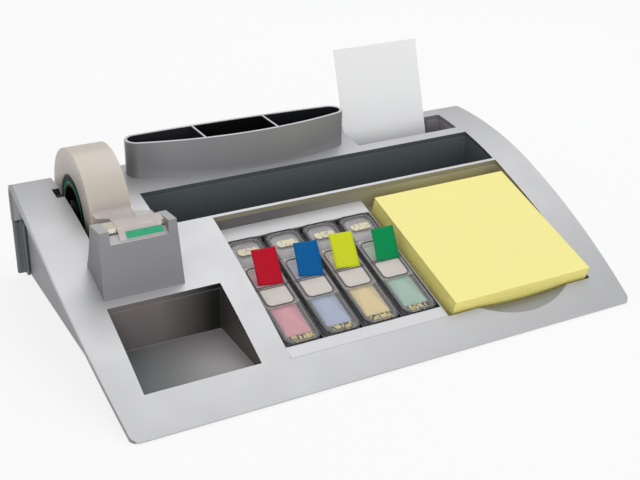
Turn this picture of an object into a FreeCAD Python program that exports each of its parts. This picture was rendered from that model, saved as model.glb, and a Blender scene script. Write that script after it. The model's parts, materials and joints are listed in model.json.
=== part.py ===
import FreeCAD, Part
import Sketcher
import os
import re

# Desk organizer: a curved shell over a flat base, with a tape dispenser, wells for notes, flags,
# clips, pens and cards, and a drawer that slides out at the back.
# Millimetres. +X runs to the right along the front edge, +Y to the back, +Z up.
# The origin is the centre of the footprint, on the surface that the feet stand on.
# Places in the expressions below are measured from the left front corner of the shell.

DIMENSIONS = [
    ("rear_flare", 1.9, "rear edge of the shell wider than its front edge"),
    ("side_bow", 4.2, "how far each side edge bows out between its ends"),
    ("corner_radius", 4.0, "front corners in plan"),
    ("lip_height", 1.05, "top of the front lip above the desk"),
    ("lip_gap", 0.3, "underside of the lip above the desk"),
    ("front_slope", 27.1, "slope of the crown at the front, degrees"),
    ("front_radius", 651.0, "radius of the front part of the crown"),
    ("knee_slope", 18.5, "slope where the two crown radii meet, degrees"),
    ("crown_radius", 212.0, "radius of the rear part of the crown"),
    ("crest_radius", 9.0, "rounding from the crown to the rear wall"),
    ("skin", 2.2, "wall thickness of the shell"),
    ("overcut", 2.0, "how far a cutting tool reaches past a face"),
    ("sky", 80.0, "height of tools that cut through the shell"),
    ("seat_gap", 0.05, "clearance where one moulding seats in another"),
    ("foot_reach", 0.8, "how far the feet stand out below the base"),
    ("floor_thickness", 2.0, "base floor"),
    ("floor_front", 8.0, "base floor, from the front edge"),
    ("wall_inset", 4.3, "side wall behind the front corner"),
    ("side_wall", 2.0, "thickness of the side walls"),
    ("tray_wall", 1.6, "walls of the hanging trays"),
    ("party_wall", 1.5, "wall between the note well and the pen tray"),
    ("clip_left", 11.9, "clip tray, from the left corner"),
    ("clip_width", 51.1, "clip tray opening"),
    ("clip_front", 17.3, "clip tray, from the front edge"),
    ("clip_depth", 41.2, "clip tray opening, front to back"),
    ("clip_floor", 2.1, "clip tray floor"),
    ("clip_ridge", 12.9, "land between the clip tray and the note well"),
    ("well_spare", 4.2, "note well beyond the flag tray and the pad"),
    ("right_margin", 12.9, "land at the right of the note well"),
    ("well_front", 15.8, "note well, from the front edge"),
    ("pad_room", 6.938, "note well beyond the pad, front to back"),
    ("well_tilt", 17.3, "tilt of the note well floor, degrees"),
    ("well_drop", 4.6, "note well floor below the front of its opening"),
    ("well_floor", 1.6, "note well floor"),
    ("pad_side", 76.0, "note pad, square"),
    ("pad_height", 10.0, "note pad thickness"),
    ("pad_start", 1.5, "pad from the front of its well"),
    ("pad_gap", 0.8, "pad to the right wall of its well"),
    ("scoop_radius", 43.3, "finger scoop in plan"),
    ("scoop_sphere", 220.0, "radius of the finger scoop's hollow"),
    ("scoop_reach", 8.2, "front of the finger scoop from the front edge"),
    ("flag_width", 78.6, "flag tray"),
    ("flag_land", 6.5, "land in front of the flag cases"),
    ("flag_run", 67.9, "recess that holds the flag cases"),
    ("flag_rim", 0.5, "thin side walls of the flag tray"),
    ("flag_floor", 0.6, "flag tray floor"),
    ("rib", 0.8, "ribs between the flag cases"),
    ("rib_height", 2.6, "ribs between the flag cases"),
    ("case_play", 0.35, "flag case to each rib"),
    ("case_height", 4.3, "flag case"),
    ("case_skin", 0.9, "wall of a flag case"),
    ("case_corner", 4.5, "rounded ends of a flag case"),
    ("window_side", 13.4, "window of a flag case"),
    ("window_start", 32.0, "window from the front of a flag case"),
    ("stack_height", 1.3, "stack of flags"),
    ("stack_length", 43.0, "stack of flags"),
    ("stack_start", 8.0, "stack of flags from the front of its case"),
    ("tab_length", 17.8, "raised flag"),
    ("tab_slope", 55.0, "raised flag above level, degrees"),
    ("tab_thickness", 0.4, "raised flag"),
    ("tab_width", 12.0, "flags"),
    ("tab_start", 36.3, "root of the raised flag from the front of its case"),
    ("tray_gap", 1.0, "pen tray clear of the tape well"),
    ("trough_margin", 13.4, "land at the right of the pen tray"),
    ("trough_depth", 25.6, "pen tray opening, front to back"),
    ("trough_floor", 1.5, "pen tray floor"),
    ("card_right", 15.4, "land at the right of the card pocket"),
    ("card_spare", 10.3, "card pocket wider than a card"),
    ("card_ridge", 5.7, "land between the pen tray and the card pocket"),
    ("rear_land", 37.6, "shell behind the pen tray"),
    ("card_depth", 17.4, "card pocket opening, front to back"),
    ("card_floor", 2.4, "card pocket floor"),
    ("card_face", 50.0, "business card, width"),
    ("card_length", 89.0, "business card, height"),
    ("card_stock", 0.4, "business card, thickness"),
    ("card_lean", 17.0, "business card leans back, degrees"),
    ("card_margin", 0.5, "card to the left end of its pocket"),
    ("cup_shift", 1.2, "pen cup to the left of the middle of the drawer bay"),
    ("cup_margin", 12.4, "back of the pen cup to the rear face"),
    ("cup_depth", 21.6, "pen cup, front to back"),
    ("cup_front_radius", 189.0, "front face of the pen cup in plan"),
    ("cup_back_radius", 900.0, "back face of the pen cup in plan"),
    ("cup_tip_radius", 6.5, "rounded ends of the pen cup"),
    ("cup_rim", 66.4, "rim of the pen cup above the desk"),
    ("cup_wall", 1.5, "walls and floor of the pen cup"),
    ("divider", 1.1, "dividers of the pen cup"),
    ("cup_middle", 36.2, "middle compartment of the pen cup"),
    ("cup_turn", 2.5, "pen cup turned with its left end back, degrees"),
    ("cup_offset", 2.2, "middle compartment to the left of the cup's centre"),
    ("roll_radius", 29.0, "tape roll"),
    ("tape_width", 19.0, "tape"),
    ("roll_left", 21.3, "tape roll, from the left corner"),
    ("roll_margin", 0.3, "tape roll inside the rear face"),
    ("axle_height", 41.3, "tape axle above the desk"),
    ("core_radius", 16.6, "outside of the tape core"),
    ("core_bore", 12.7, "inside of the tape core"),
    ("hub_wall", 1.6, "rim of the hub"),
    ("hub_web", 5.0, "disc of the hub"),
    ("hub_boss", 4.5, "boss of the hub"),
    ("axle_radius", 2.1, "axle ends"),
    ("axle_play", 0.06, "axle end in its slot"),
    ("axle_reach", 3.2, "axle end inside its slot"),
    ("slot_slant", 40.0, "axle slots lean back, degrees"),
    ("well_play", 3.1, "tape roll to each side of its well"),
    ("cradle_wall", 5.0, "side walls that carry the axle"),
    ("cradle_ridge", 2.2, "tape well behind the cutter block"),
    ("cradle_margin", 6.0, "low rear wall of the tape well to the rear face"),
    ("cradle_sill", 15.0, "low rear wall of the tape well"),
    ("tower_overlap", 6.0, "cutter block beyond the left side of the tape well"),
    ("tower_spare", 11.2, "cutter block wider than the tape well"),
    ("tower_ridge", 3.9, "land between the clip tray and the cutter block"),
    ("tower_top", 60.2, "cutter block above the desk"),
    ("tower_fall", 1.4, "fall of the ears towards the back"),
    ("tower_ledge", 12.6, "top of the ears, front to back"),
    ("tower_foot", 21.4, "cutter block at its base, front to back"),
    ("tower_shoulder", 35.5, "foot of the block's rear hollow above the desk"),
    ("tower_hollow", 70.0, "radius of the block's rear face"),
    ("ear_width", 4.4, "left ear beside the blade"),
    ("right_ear", 6.4, "right ear beside the blade"),
    ("tower_taper", 2.8, "cutter block narrower at its top"),
    ("land_height", 53.8, "front of the tape land above the desk"),
    ("land_depth", 3.8, "tape land, front to back"),
    ("land_rise", 2.7, "rise of the tape land"),
    ("blade_groove", 1.3, "groove behind the land, below its front"),
    ("blade_seat", 58.6, "seat of the blade above the desk"),
    ("blade_setback", 5.0, "seat of the blade from the block's front"),
    ("blade_sheet", 0.5, "cutter blade thickness"),
    ("blade_drop", 2.0, "toothed lip of the blade"),
    ("blade_shelf", 6.1, "flat of the blade"),
    ("tooth_pitch", 1.3, "teeth of the blade"),
    ("tooth_depth", 0.8, "teeth of the blade"),
    ("strip_thickness", 0.3, "tape strip"),
    ("strip_gap", 0.3, "tape strip to the roll"),
    ("strip_lift", 0.03, "tape strip above the blade"),
    ("strip_over", 1.4, "free tape stays level past the top of the cutter block"),
    ("strip_curl", 8.0, "curl of the free tape before the roll"),
    ("strip_leave", 28.0, "where the free tape leaves the roll, above its front, degrees"),
    ("strip_lead", 0.2, "bend of the strip in front of the blade"),
    ("flap_start", 0.8, "end of the strip behind the block's front"),
    ("label_low", 0.1, "share of the flap below the label"),
    ("label_high", 0.6, "share of the flap up to the top of the label"),
    ("label_inset", 3.0, "label from the left edge of the tape"),
    ("label_thickness", 0.2, "coloured label on the tape's end"),
    ("bay_step", 0.4, "drawer bay to the left of the pen tray's opening"),
    ("bay_clear", 0.9, "drawer bay clear of the card pocket"),
    ("bay_offset", 4.03879, "drawer bay behind the place where its deck would meet the note well"),
    ("bay_height", 16.5, "room for the drawer"),
    ("bay_wall", 1.5, "walls and deck of the drawer bay"),
    ("drawer_play", 0.35, "drawer to each side of its bay"),
    ("drawer_lift", 0.05, "drawer above the base floor"),
    ("drawer_clear", 0.6, "drawer below the deck"),
    ("drawer_stop", 3.0, "drawer tray behind the front of its bay"),
    ("drawer_wall", 1.5, "walls of the drawer tray"),
    ("drawer_top", 28.6, "top of the drawer front above the desk"),
    ("drawer_face", 2.6, "drawer front thickness"),
    ("drawer_gap", 0.4, "between the drawer front and the shell"),
    ("drawer_end", 1.2, "rounded ends of the drawer front"),
    ("cheek_inset", 2.6, "locating rib of the drawer front, from the corner"),
    ("cheek", 1.4, "locating rib of the drawer front"),
    ("cheek_reach", 4.0, "locating rib of the drawer front"),
    ("notch_radius", 11.0, "finger notch of the drawer front"),
    ("notch_rise", 2.0, "centre of the finger notch above the drawer front"),
    ("partition_place", 42.0, "partition of the drawer from its left wall"),
    ("panel_height", 25.0, "inner rear wall of the base"),
    ("boss_radius", 2.3, "screw bosses"),
    ("screw_radius", 0.95, "case screws"),
    ("screw_head", 1.9, "case screw heads"),
    ("head_height", 1.0, "case screw heads"),
    ("drive_width", 0.5, "cross recess of a case screw"),
    ("screw_length", 8.0, "case screws"),
    ("boss_clear", 3.5, "rear left boss beside the tape well's wall"),
    ("boss_margin", 8.7, "right bosses from the right edge"),
    ("front_bosses", 34.0, "front bosses, from the front edge"),
    ("boss_back", 42.0, "rear bosses from the rear face"),
    ("foot_radius", 5.0, "rubber feet"),
    ("foot_height", 1.8, "rubber feet"),
    ("foot_margin", 22.0, "feet from the side and rear edges"),
    ("foot_front", 44.0, "front feet from the front edge"),
    ("ballast_left", 13.0, "steel ballast, from the left corner"),
    ("ballast_width", 34.0, "steel ballast"),
    ("ballast_depth", 19.0, "steel ballast"),
    ("ballast_height", 8.0, "steel ballast"),
]

PLACES = {
    "well_left": "(clip_left + clip_width + clip_ridge)",
    "well_width": "(flag_width + pad_side + well_spare)",
    "well_depth": "(pad_side * cos(well_tilt) + pad_room)",
    "front_width": "(well_left + well_width + right_margin)",
    "rear_width": "(front_width + rear_flare)",
    "body_depth": "(trough_front + trough_depth + rear_land)",
    "left": "(-front_width / 2)",
    "front": "(-body_depth / 2)",
    "trough_front": "(well_front + well_depth + party_wall)",
    "trough_left": "(tape_well_left + tape_well_width + cradle_wall + tray_gap + tray_wall)",
    "trough_width": "(front_width - trough_left - trough_margin)",
    "card_width": "(card_face + card_spare)",
    "card_left": "(front_width - card_right - card_width)",
    "card_front": "(trough_front + trough_depth + card_ridge)",
    "tower_left": "(tape_well_left - tower_overlap)",
    "tower_width": "(tape_well_width + tower_spare)",
    "tower_front": "(clip_front + clip_depth + tower_ridge)",
    "cradle_front": "(tower_front + tower_foot + cradle_ridge)",
    "cradle_back": "(body_depth - cradle_margin)",
    "axle_back": "(body_depth - roll_margin - roll_radius)",
    "bay_left": "(trough_left - bay_step)",
    "bay_width": "(card_left - tray_wall - bay_clear - bay_left)",
    "well_underside": "(well_drop + well_floor)",
    "deck_contact": "(well_front + (deck_top - tray_level + well_underside * cos(well_tilt)) / tan(well_tilt)"
                    " + well_underside * sin(well_tilt))",
    "bay_front": "(deck_contact + bay_offset)",
    "drawer_start": "(bay_front + drawer_stop)",
    "cup_centre": "(bay_left + bay_width / 2 - cup_shift)",
    "cup_back": "(body_depth - cup_margin)",
    "cup_centres": "(cup_front_radius + cup_back_radius - cup_depth)",
    "cup_rise": "((cup_centres ^ 2 + (cup_back_radius - cup_tip_radius) ^ 2"
                " - (cup_front_radius - cup_tip_radius) ^ 2) / (2 * cup_centres))",
    "cup_half": "sqrt((cup_back_radius - cup_tip_radius) ^ 2 - cup_rise ^ 2)",
    "left_boss_front": "(clip_left + clip_width + clip_ridge / 2)",
    "left_boss_rear": "(tape_well_left - cradle_wall - boss_clear)",
    "right_boss": "(front_width - boss_margin)",
    "rear_bosses": "(body_depth - boss_back)",
    "ballast_front": "tower_front",
    "base_top": "(foot_reach + floor_thickness)",
    "inner_end": "(body_depth - drawer_face - drawer_gap)",
    "front_centre_y": "(front_radius * sin(front_slope))",
    "front_centre_z": "(lip_height - front_radius * cos(front_slope))",
    "knee_sine": "sin(knee_slope)",
    "knee_cosine": "cos(knee_slope)",
    "rear_centre_y": "(front_centre_y - (front_radius - crown_radius) * knee_sine)",
    "rear_centre_z": "(front_centre_z + (front_radius - crown_radius) * knee_cosine)",
    "crest_sine": "((rear_centre_y + crest_radius - body_depth) / (crown_radius - crest_radius))",
    "crest_cosine": "sqrt(1 - crest_sine ^ 2)",
    "crest_centre_z": "(rear_centre_z + (crown_radius - crest_radius) * crest_cosine)",
    "deck_top": "(base_top + bay_height + bay_wall)",
    "tray_level": "(front_centre_z + sqrt(front_radius ^ 2 - (well_front - front_centre_y) ^ 2))",
    "case_pitch": "((flag_width - 2 * flag_rim + rib) / 4)",
    "case_width": "(case_pitch - rib - 2 * case_play)",
    "tape_well_left": "(roll_left - well_play)",
    "tape_well_width": "(tape_width + 2 * well_play)",
    "slot_radius": "(axle_radius + axle_play)",
    "blade_edge": "(tower_front + blade_setback - blade_sheet)",
    "blade_top": "(blade_seat + blade_sheet)",
    "bend_y": "(blade_edge - strip_lead)",
    "bend_z": "(blade_top + strip_lift)",
    "flap_y": "(tower_front + flap_start)",
    "flap_z": "(land_height + land_rise * flap_start / land_depth + strip_lift)",
    "strip_reach": "(roll_radius + strip_gap)",
    "curl_y": "(axle_back - (strip_reach + strip_curl) * cos(strip_leave))",
    "curl_z": "(axle_height + (strip_reach + strip_curl) * sin(strip_leave))",
    "strip_crest": "(tower_front + tower_ledge + strip_over)",
    "strip_span": "sqrt((curl_y - strip_crest) ^ 2 + (curl_z - bend_z) ^ 2)",
    "strip_dip": "(asin(strip_curl / strip_span) - atan((curl_z - bend_z) / (curl_y - strip_crest)))",
    "drawer_left": "(bay_left + bay_wall + drawer_play)",
    "drawer_width": "(bay_width - 2 * bay_wall - 2 * drawer_play)",
    "drawer_bottom": "(base_top + drawer_lift)",
    "drawer_height": "(bay_height - drawer_lift - drawer_clear)",
    "front_face": "(body_depth - drawer_face)",
}

ALIASES = {name for name, value, note in DIMENSIONS}
FLAG_NAMES = ["red", "blue", "lime", "green"]
X_AXIS = FreeCAD.Vector(1, 0, 0)
Y_AXIS = FreeCAD.Vector(0, 1, 0)
ALONG_X = FreeCAD.Rotation(Y_AXIS, 90)
ALONG_Y = FreeCAD.Rotation(X_AXIS, -90)
UPRIGHT = FreeCAD.Rotation()
TILT_BACK = FreeCAD.Vector(-1, 0, 0)
CLOCKWISE = FreeCAD.Vector(0, 0, -1)
BOX_UPRIGHT_EDGES = (1, 3, 5, 7)

doc = FreeCAD.newDocument("DeskOrganizer")
sheet = doc.addObject("Spreadsheet::Sheet", "Sizes")
for row, (name, value, note) in enumerate(DIMENSIONS, start=1):
    sheet.set(f"A{row}", name)
    sheet.set(f"B{row}", str(value))
    sheet.set(f"C{row}", note)
    sheet.setAlias(f"B{row}", name)
doc.recompute()


def formula(text):
    """Write out the named places of an expression and point its sizes at the sheet."""
    while any(word in PLACES for word in re.findall(r"\b[a-z_]+\b", text)):
        text = re.sub(r"\b[a-z_]+\b", lambda word: PLACES.get(word.group(), word.group()), text)
    return re.sub(r"\b[a-z_]+\b", lambda word: "Sizes." + word.group()
                  if word.group() in ALIASES else word.group(), text)


def size(text):
    """The present value of an expression."""
    value = sheet.evalExpression(formula(text))
    return float(getattr(value, "Value", value))


def bind(item, **properties):
    """Bind properties of an object to expressions."""
    for name, text in properties.items():
        item.setExpression(name, formula(text))
    return item


def place(item, x, y, z):
    """Put an object at a place measured from the left front corner."""
    item.setExpression(".Placement.Base.x", formula(f"left + {x}"))
    item.setExpression(".Placement.Base.y", formula(f"front + {y}"))
    item.setExpression(".Placement.Base.z", formula(z))
    return item


# Sketched solids ------------------------------------------------------------------------------

def bowed_arc(start, end, radius):
    """The short arc from start to end that bows to the right of its chord, or left if negative."""
    chord = end - start
    half = chord.Length / 2
    rise = abs(radius) - max(radius ** 2 - half ** 2, 0) ** 0.5
    if radius < 0:
        rise = -rise
    side = FreeCAD.Vector(chord.y, -chord.x, 0).normalize() * rise
    return Part.Arc(start, (start + end) / 2 + side, end)


def draw_loop(sketch, loop):
    """Draw a closed anticlockwise loop of corners (a, b) or (a, b, radius of the arc to the next
    corner, positive where it bows out), and bind each corner and radius."""
    corners = [FreeCAD.Vector(size(corner[0]), size(corner[1]), 0) for corner in loop]
    first = sketch.GeometryCount
    ends = []
    for here, corner in enumerate(loop):
        start, end = corners[here], corners[(here + 1) % len(loop)]
        arc = len(corner) > 2
        shape = bowed_arc(start, end, size(corner[2])) if arc else Part.LineSegment(start, end)
        edge = sketch.addGeometry(shape, False)
        turned = sketch.getPoint(edge, 1).distanceToPoint(start) > sketch.getPoint(edge, 2).distanceToPoint(start)
        ends.append((2, 1) if turned else (1, 2))
    for here, corner in enumerate(loop):
        edge = first + here
        after = (here + 1) % len(loop)
        joint = Sketcher.Constraint("Coincident", edge, ends[here][1], first + after, ends[after][0])
        sketch.addConstraint(joint)
        for axis, text, value in (("X", corner[0], corners[here].x), ("Y", corner[1], corners[here].y)):
            distance = Sketcher.Constraint("Distance" + axis, -1, 1, edge, ends[here][0], value)
            sketch.setExpression(f"Constraints[{sketch.addConstraint(distance)}]", formula(text))
        if len(corner) > 2:
            rounding = Sketcher.Constraint("Radius", edge, abs(size(corner[2])))
            sketch.setExpression(f"Constraints[{sketch.addConstraint(rounding)}]",
                                 formula(f"abs({corner[2]})"))


def draw_on(body, name, plane, offset, loops):
    """A sketch on one of the body's own planes, moved along its normal by an offset."""
    sketch = body.newObject("Sketcher::SketchObject", name)
    origin_plane = next(item for item in body.Origin.OriginFeatures if item.Role == plane)
    sketch.AttachmentSupport = [(origin_plane, "")]
    sketch.MapMode = "FlatFace"
    sketch.setExpression("AttachmentOffset.Base.z", formula(offset))
    for loop in loops:
        draw_loop(sketch, loop)
    sketch.Visibility = False
    doc.recompute()
    return sketch


def padded(name, plane, offset, length, *loops):
    """A body whose sketch is padded along the normal of its plane."""
    body = doc.addObject("PartDesign::Body", name)
    place(body, "0", "0", "0")
    sketch = draw_on(body, name + "_outline", plane, offset, loops)
    pad = body.newObject("PartDesign::Pad", name + "_pad")
    pad.Profile = sketch
    bind(pad, Length=length)
    doc.recompute()
    return body


# Plain solids ---------------------------------------------------------------------------------

def box(name, x, width, y, depth, z, height):
    item = doc.addObject("Part::Box", name)
    return place(bind(item, Length=width, Width=depth, Height=height), x, y, z)


def cylinder(name, radius, length, x, y, z, turn=UPRIGHT):
    item = doc.addObject("Part::Cylinder", name)
    item.Placement = FreeCAD.Placement(FreeCAD.Vector(), turn)
    return place(bind(item, Radius=radius, Height=length), x, y, z)


def sloped_box(name, x, width, run, length, rise, height):
    """A box in the frame of the note well: run goes up its slope from the front of the opening,
    rise stands square to it from the level of the opening's front edge."""
    item = doc.addObject("Part::Box", name)
    item.Placement = FreeCAD.Placement(FreeCAD.Vector(), FreeCAD.Rotation(X_AXIS, 1))
    item.setExpression(".Placement.Rotation.Angle", formula("well_tilt"))
    bind(item, Length=width, Width=length, Height=height)
    return place(item, x, *sloped_place(run, rise))


def sloped_place(run, rise):
    """Distance from the front edge and height of a point in the note well's frame."""
    return (f"well_front + ({run}) * cos(well_tilt) - ({rise}) * sin(well_tilt)",
            f"tray_level + ({run}) * sin(well_tilt) + ({rise}) * cos(well_tilt)")


def rounded(name, block, radius, edges=BOX_UPRIGHT_EDGES):
    """Round chosen edges of a solid; a box's upright edges unless others are given."""
    doc.recompute()
    item = doc.addObject("Part::Fillet", name)
    item.Base = block
    reach = size(radius)
    item.Edges = [(edge, reach, reach) for edge in edges]
    return item


def join(name, *parts):
    item = doc.addObject("Part::MultiFuse", name)
    item.Shapes = list(parts)
    return item


def common(name, *parts):
    item = doc.addObject("Part::MultiCommon", name)
    item.Shapes = list(parts)
    return item


def cut(name, base, *tools):
    item = doc.addObject("Part::Cut", name)
    item.Base = base
    item.Tool = tools[0] if len(tools) == 1 else join(name + "_tools", *tools)
    return item


PARTS = []


def keep(node, item):
    """Name a finished sub-part."""
    item.Label = node
    PARTS.append((node, item))


# Outlines that several sub-parts share --------------------------------------------------------

def under_surface(name, offset):
    """The solid under the crown, or under a surface that lies inside it by the offset."""
    reach = f"(front_radius - {offset})"
    start = f"front_centre_y - sqrt({reach} ^ 2 - (-overcut - front_centre_z) ^ 2)"
    rear = f"body_depth - {offset}"
    crest = f"(crown_radius - {offset})"
    loop = [
        (start, "-overcut"),
        (rear, "-overcut"),
        (rear, "crest_centre_z", f"crest_radius - {offset}"),
        (f"rear_centre_y - {crest} * crest_sine", f"rear_centre_z + {crest} * crest_cosine", crest),
        (f"front_centre_y - {reach} * knee_sine", f"front_centre_z + {reach} * knee_cosine", reach),
    ]
    return padded(name, "YZ_Plane", "-side_bow - overcut", "rear_width + 2 * side_bow + 2 * overcut", loop)


def plan_prism(name):
    """The shell in plan: straight front and rear edges, bowed sides and rounded front corners."""
    side = "((body_depth - corner_radius) ^ 2 / (8 * side_bow) + side_bow / 2)"
    loop = [
        ("corner_radius", "0"),
        ("front_width - corner_radius", "0", "corner_radius"),
        ("front_width", "corner_radius", side),
        ("(front_width + rear_width) / 2", "body_depth"),
        ("(front_width - rear_width) / 2", "body_depth", side),
        ("0", "corner_radius", "corner_radius"),
    ]
    return padded(name, "XY_Plane", "lip_gap", "sky", loop)


def lens(name, inset, bottom, height):
    """The pen cup in plan: two large arcs with rounded tips, every face moved in by the inset."""
    face, back, tip = (f"(cup_{part}_radius - {inset})" for part in ("front", "back", "tip"))
    face_share = f"{face} / (cup_front_radius - cup_tip_radius)"
    back_share = f"{back} / (cup_back_radius - cup_tip_radius)"
    face_y = f"cup_front_radius - cup_depth / 2 - (cup_centres - cup_rise) * {face_share}"
    back_y = f"cup_depth / 2 - cup_back_radius + cup_rise * {back_share}"
    body = padded(name, "XY_Plane", bottom, height, [
        (f"-cup_half * {face_share}", face_y, face),
        (f"cup_half * {face_share}", face_y, tip),
        (f"cup_half * {back_share}", back_y, back),
        (f"-cup_half * {back_share}", back_y, tip),
    ])
    body.Placement = FreeCAD.Placement(FreeCAD.Vector(), FreeCAD.Rotation(CLOCKWISE, 1))
    body.setExpression(".Placement.Rotation.Angle", formula("cup_turn"))
    return place(body, "cup_centre", "cup_back - cup_depth / 2", "0")


def axle_slots(name):
    """Two slots that lead an axle end down and forward to its seat, one in each side wall."""
    tools = []
    starts = {"left": "tape_well_left - axle_reach - 2 * axle_play",
              "right": "tape_well_left + tape_well_width - 2 * axle_play"}
    for side, x in starts.items():
        depth = "axle_reach + 4 * axle_play"
        seat = cylinder(f"{name}_{side}_seat", "slot_radius", depth, x, "axle_back", "axle_height", ALONG_X)
        channel = doc.addObject("Part::Box", f"{name}_{side}_channel")
        channel.Placement = FreeCAD.Placement(FreeCAD.Vector(), FreeCAD.Rotation(TILT_BACK, 1))
        channel.setExpression(".Placement.Rotation.Angle", formula("slot_slant"))
        bind(channel, Length=depth, Width="2 * slot_radius", Height="roll_radius")
        place(channel, x, "axle_back - slot_radius * cos(slot_slant)",
              "axle_height + slot_radius * sin(slot_slant)")
        tools += [seat, channel]
    return join(name, *tools)


def boss_places():
    return [("front_left", "left_boss_front", "front_bosses"), ("front_right", "right_boss", "front_bosses"),
            ("rear_left", "left_boss_rear", "rear_bosses"), ("rear_right", "right_boss", "rear_bosses")]


def foot_places():
    far = "front_width - foot_margin"
    rear = "body_depth - foot_margin"
    return [("front_left", "foot_margin", "foot_front"), ("front_right", far, "foot_front"),
            ("rear_left", "foot_margin", rear), ("rear_right", far, rear)]


# Shell ----------------------------------------------------------------------------------------

def top_shell():
    """The curved skin with its rear wall, pierced for every tray, the cup and the tape roll."""
    sheet_solid = cut("skin_sheet", under_surface("crown", "0"), under_surface("under_skin", "skin"))
    blank = common("shell_blank", sheet_solid, plan_prism("shell_plan"))
    tools = [
        box("below_hem", "-side_bow - overcut", "rear_width + 2 * side_bow + 2 * overcut",
            "body_depth - skin - overcut", "skin + 2 * overcut", "-overcut", "drawer_top + drawer_gap + overcut"),
        box("clip_hole", "clip_left", "clip_width", "clip_front", "clip_depth", "0", "sky"),
        box("well_hole", "well_left", "well_width", "well_front", "well_depth", "0", "sky"),
        box("trough_hole", "trough_left", "trough_width", "trough_front", "trough_depth", "0", "sky"),
        box("card_hole", "card_left", "card_width", "card_front", "card_depth", "0", "sky"),
        box("tape_hole", "tape_well_left", "tape_well_width", "cradle_front", "body_depth", "0", "sky"),
        lens("cup_hole", "(-seat_gap)", "0", "sky"),
        finger_scoop(),
        axle_slots("slot_mouths"),
    ]
    pierced = cut("pierced_shell", blank, *tools)
    posts = join("boss_posts", *[cylinder(f"boss_{side}", "boss_radius", "sky", x, y, "base_top")
                                 for side, x, y in boss_places()])
    bosses = common("bosses", posts, under_surface("boss_ceiling", "skin / 2"))
    pilots = [cylinder(f"pilot_{side}", "screw_radius + seat_gap", "screw_length", x, y, "foot_reach")
              for side, x, y in boss_places()]
    keep("top_shell", cut("shell_solid", join("bossed_shell", pierced, bosses), *pilots))


def finger_scoop():
    """A shallow spherical hollow in front of the pad."""
    slope = "asin((front_centre_y - scoop_reach) / front_radius)"
    rise = "sqrt(scoop_sphere ^ 2 - scoop_radius ^ 2)"
    level = "front_centre_z + sqrt(front_radius ^ 2 - (scoop_reach - front_centre_y) ^ 2)"
    ball = doc.addObject("Part::Sphere", "scoop_ball")
    bind(ball, Radius="scoop_sphere")
    place(ball, "well_left + well_width - pad_gap - pad_side / 2",
          f"scoop_reach + scoop_radius * cos({slope}) - {rise} * sin({slope})",
          f"{level} + scoop_radius * sin({slope}) + {rise} * cos({slope})")
    block = box("scoop_block", "well_left + well_width - pad_gap - pad_side", "pad_side",
                "0", "well_front + overcut", "0", "sky")
    return common("scoop", ball, block)


# Base -----------------------------------------------------------------------------------------

def base_housing():
    """Floor, two side walls that carry the skin, and an inner rear wall beside the drawer."""
    bay_right = "bay_left + bay_width"
    walls = [
        box("wall_left", "wall_inset", "side_wall", "0", "inner_end", "foot_reach", "sky"),
        box("wall_right", "front_width - wall_inset - side_wall", "side_wall", "0", "inner_end",
            "foot_reach", "sky"),
        box("floor", "wall_inset", "front_width - 2 * wall_inset", "floor_front", "inner_end - floor_front",
            "foot_reach", "floor_thickness"),
        box("rear_panel", bay_right, f"front_width - wall_inset - ({bay_right})", "inner_end - side_wall",
            "side_wall", "foot_reach", "panel_height"),
    ]
    shaped = common("housing", join("housing_blank", *walls), under_surface("housing_room", "(skin + seat_gap)"))
    holes = []
    for side, x, y in boss_places():
        holes.append(cylinder(f"hole_{side}", "screw_radius + seat_gap", "screw_length", x, y, "0"))
        holes.append(cylinder(f"sink_{side}", "screw_head + seat_gap", "head_height", x, y, "foot_reach"))
    for corner, x, y in foot_places():
        holes.append(cylinder(f"pocket_{corner}", "foot_radius + seat_gap", "foot_height - foot_reach",
                              x, y, "foot_reach"))
    keep("base_housing", cut("base_solid", shaped, *holes))


def rubber_feet():
    for corner, x, y in foot_places():
        keep(f"rubber_foot_{corner}", cylinder(f"foot_{corner}", "foot_radius", "foot_height", x, y, "0"))


def case_screws():
    """Screws from below, each with its cross-recessed head in a sink of the floor."""
    for side, x, y in boss_places():
        head = cylinder(f"screw_head_{side}", "screw_head", "head_height", x, y, "foot_reach")
        shank = cylinder(f"screw_shank_{side}", "screw_radius", "screw_length - seat_gap", x, y, "foot_reach")
        bars = [box(f"drive_{side}_across", f"{x} - screw_head * 0.6", "screw_head * 1.2",
                    f"{y} - drive_width / 2", "drive_width", "foot_reach", "head_height / 2"),
                box(f"drive_{side}_along", f"{x} - drive_width / 2", "drive_width",
                    f"{y} - screw_head * 0.6", "screw_head * 1.2", "foot_reach", "head_height / 2")]
        keep(f"case_screw_{side}", cut(f"screw_{side}", join(f"screw_{side}_blank", head, shank), *bars))


def ballast():
    keep("ballast_weight", box("ballast", "ballast_left", "ballast_width", "ballast_front", "ballast_depth",
                               "base_top", "ballast_height"))


def drawer_bay():
    """Deck over the drawer with its two walls and a stop wall in front."""
    inner = box("bay_room", "bay_left + bay_wall", "bay_width - 2 * bay_wall", "bay_front + bay_wall",
                "body_depth", "0", "base_top + bay_height")
    outer = box("bay_block", "bay_left", "bay_width", "bay_front", "inner_end - bay_front", "base_top",
                "bay_height + bay_wall")
    keep("drawer_bay", cut("bay_solid", outer, inner))


# Trays under the skin -------------------------------------------------------------------------

def open_tray(name, x, width, y, depth, bottom, floor, front_wall="tray_wall"):
    """A tray that hangs round an opening, its walls cut off by the underside of the skin."""
    outer = box(name + "_block", f"{x} - tray_wall", f"{width} + 2 * tray_wall", f"{y} - {front_wall}",
                f"{depth} + {front_wall} + tray_wall", bottom, "sky")
    inner = box(name + "_room", x, width, y, depth, f"{bottom} + {floor}", "sky")
    ceiling = under_surface(name + "_ceiling", "(skin + seat_gap)")
    return common(name + "_solid", cut(name + "_walls", outer, inner), ceiling)


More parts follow.
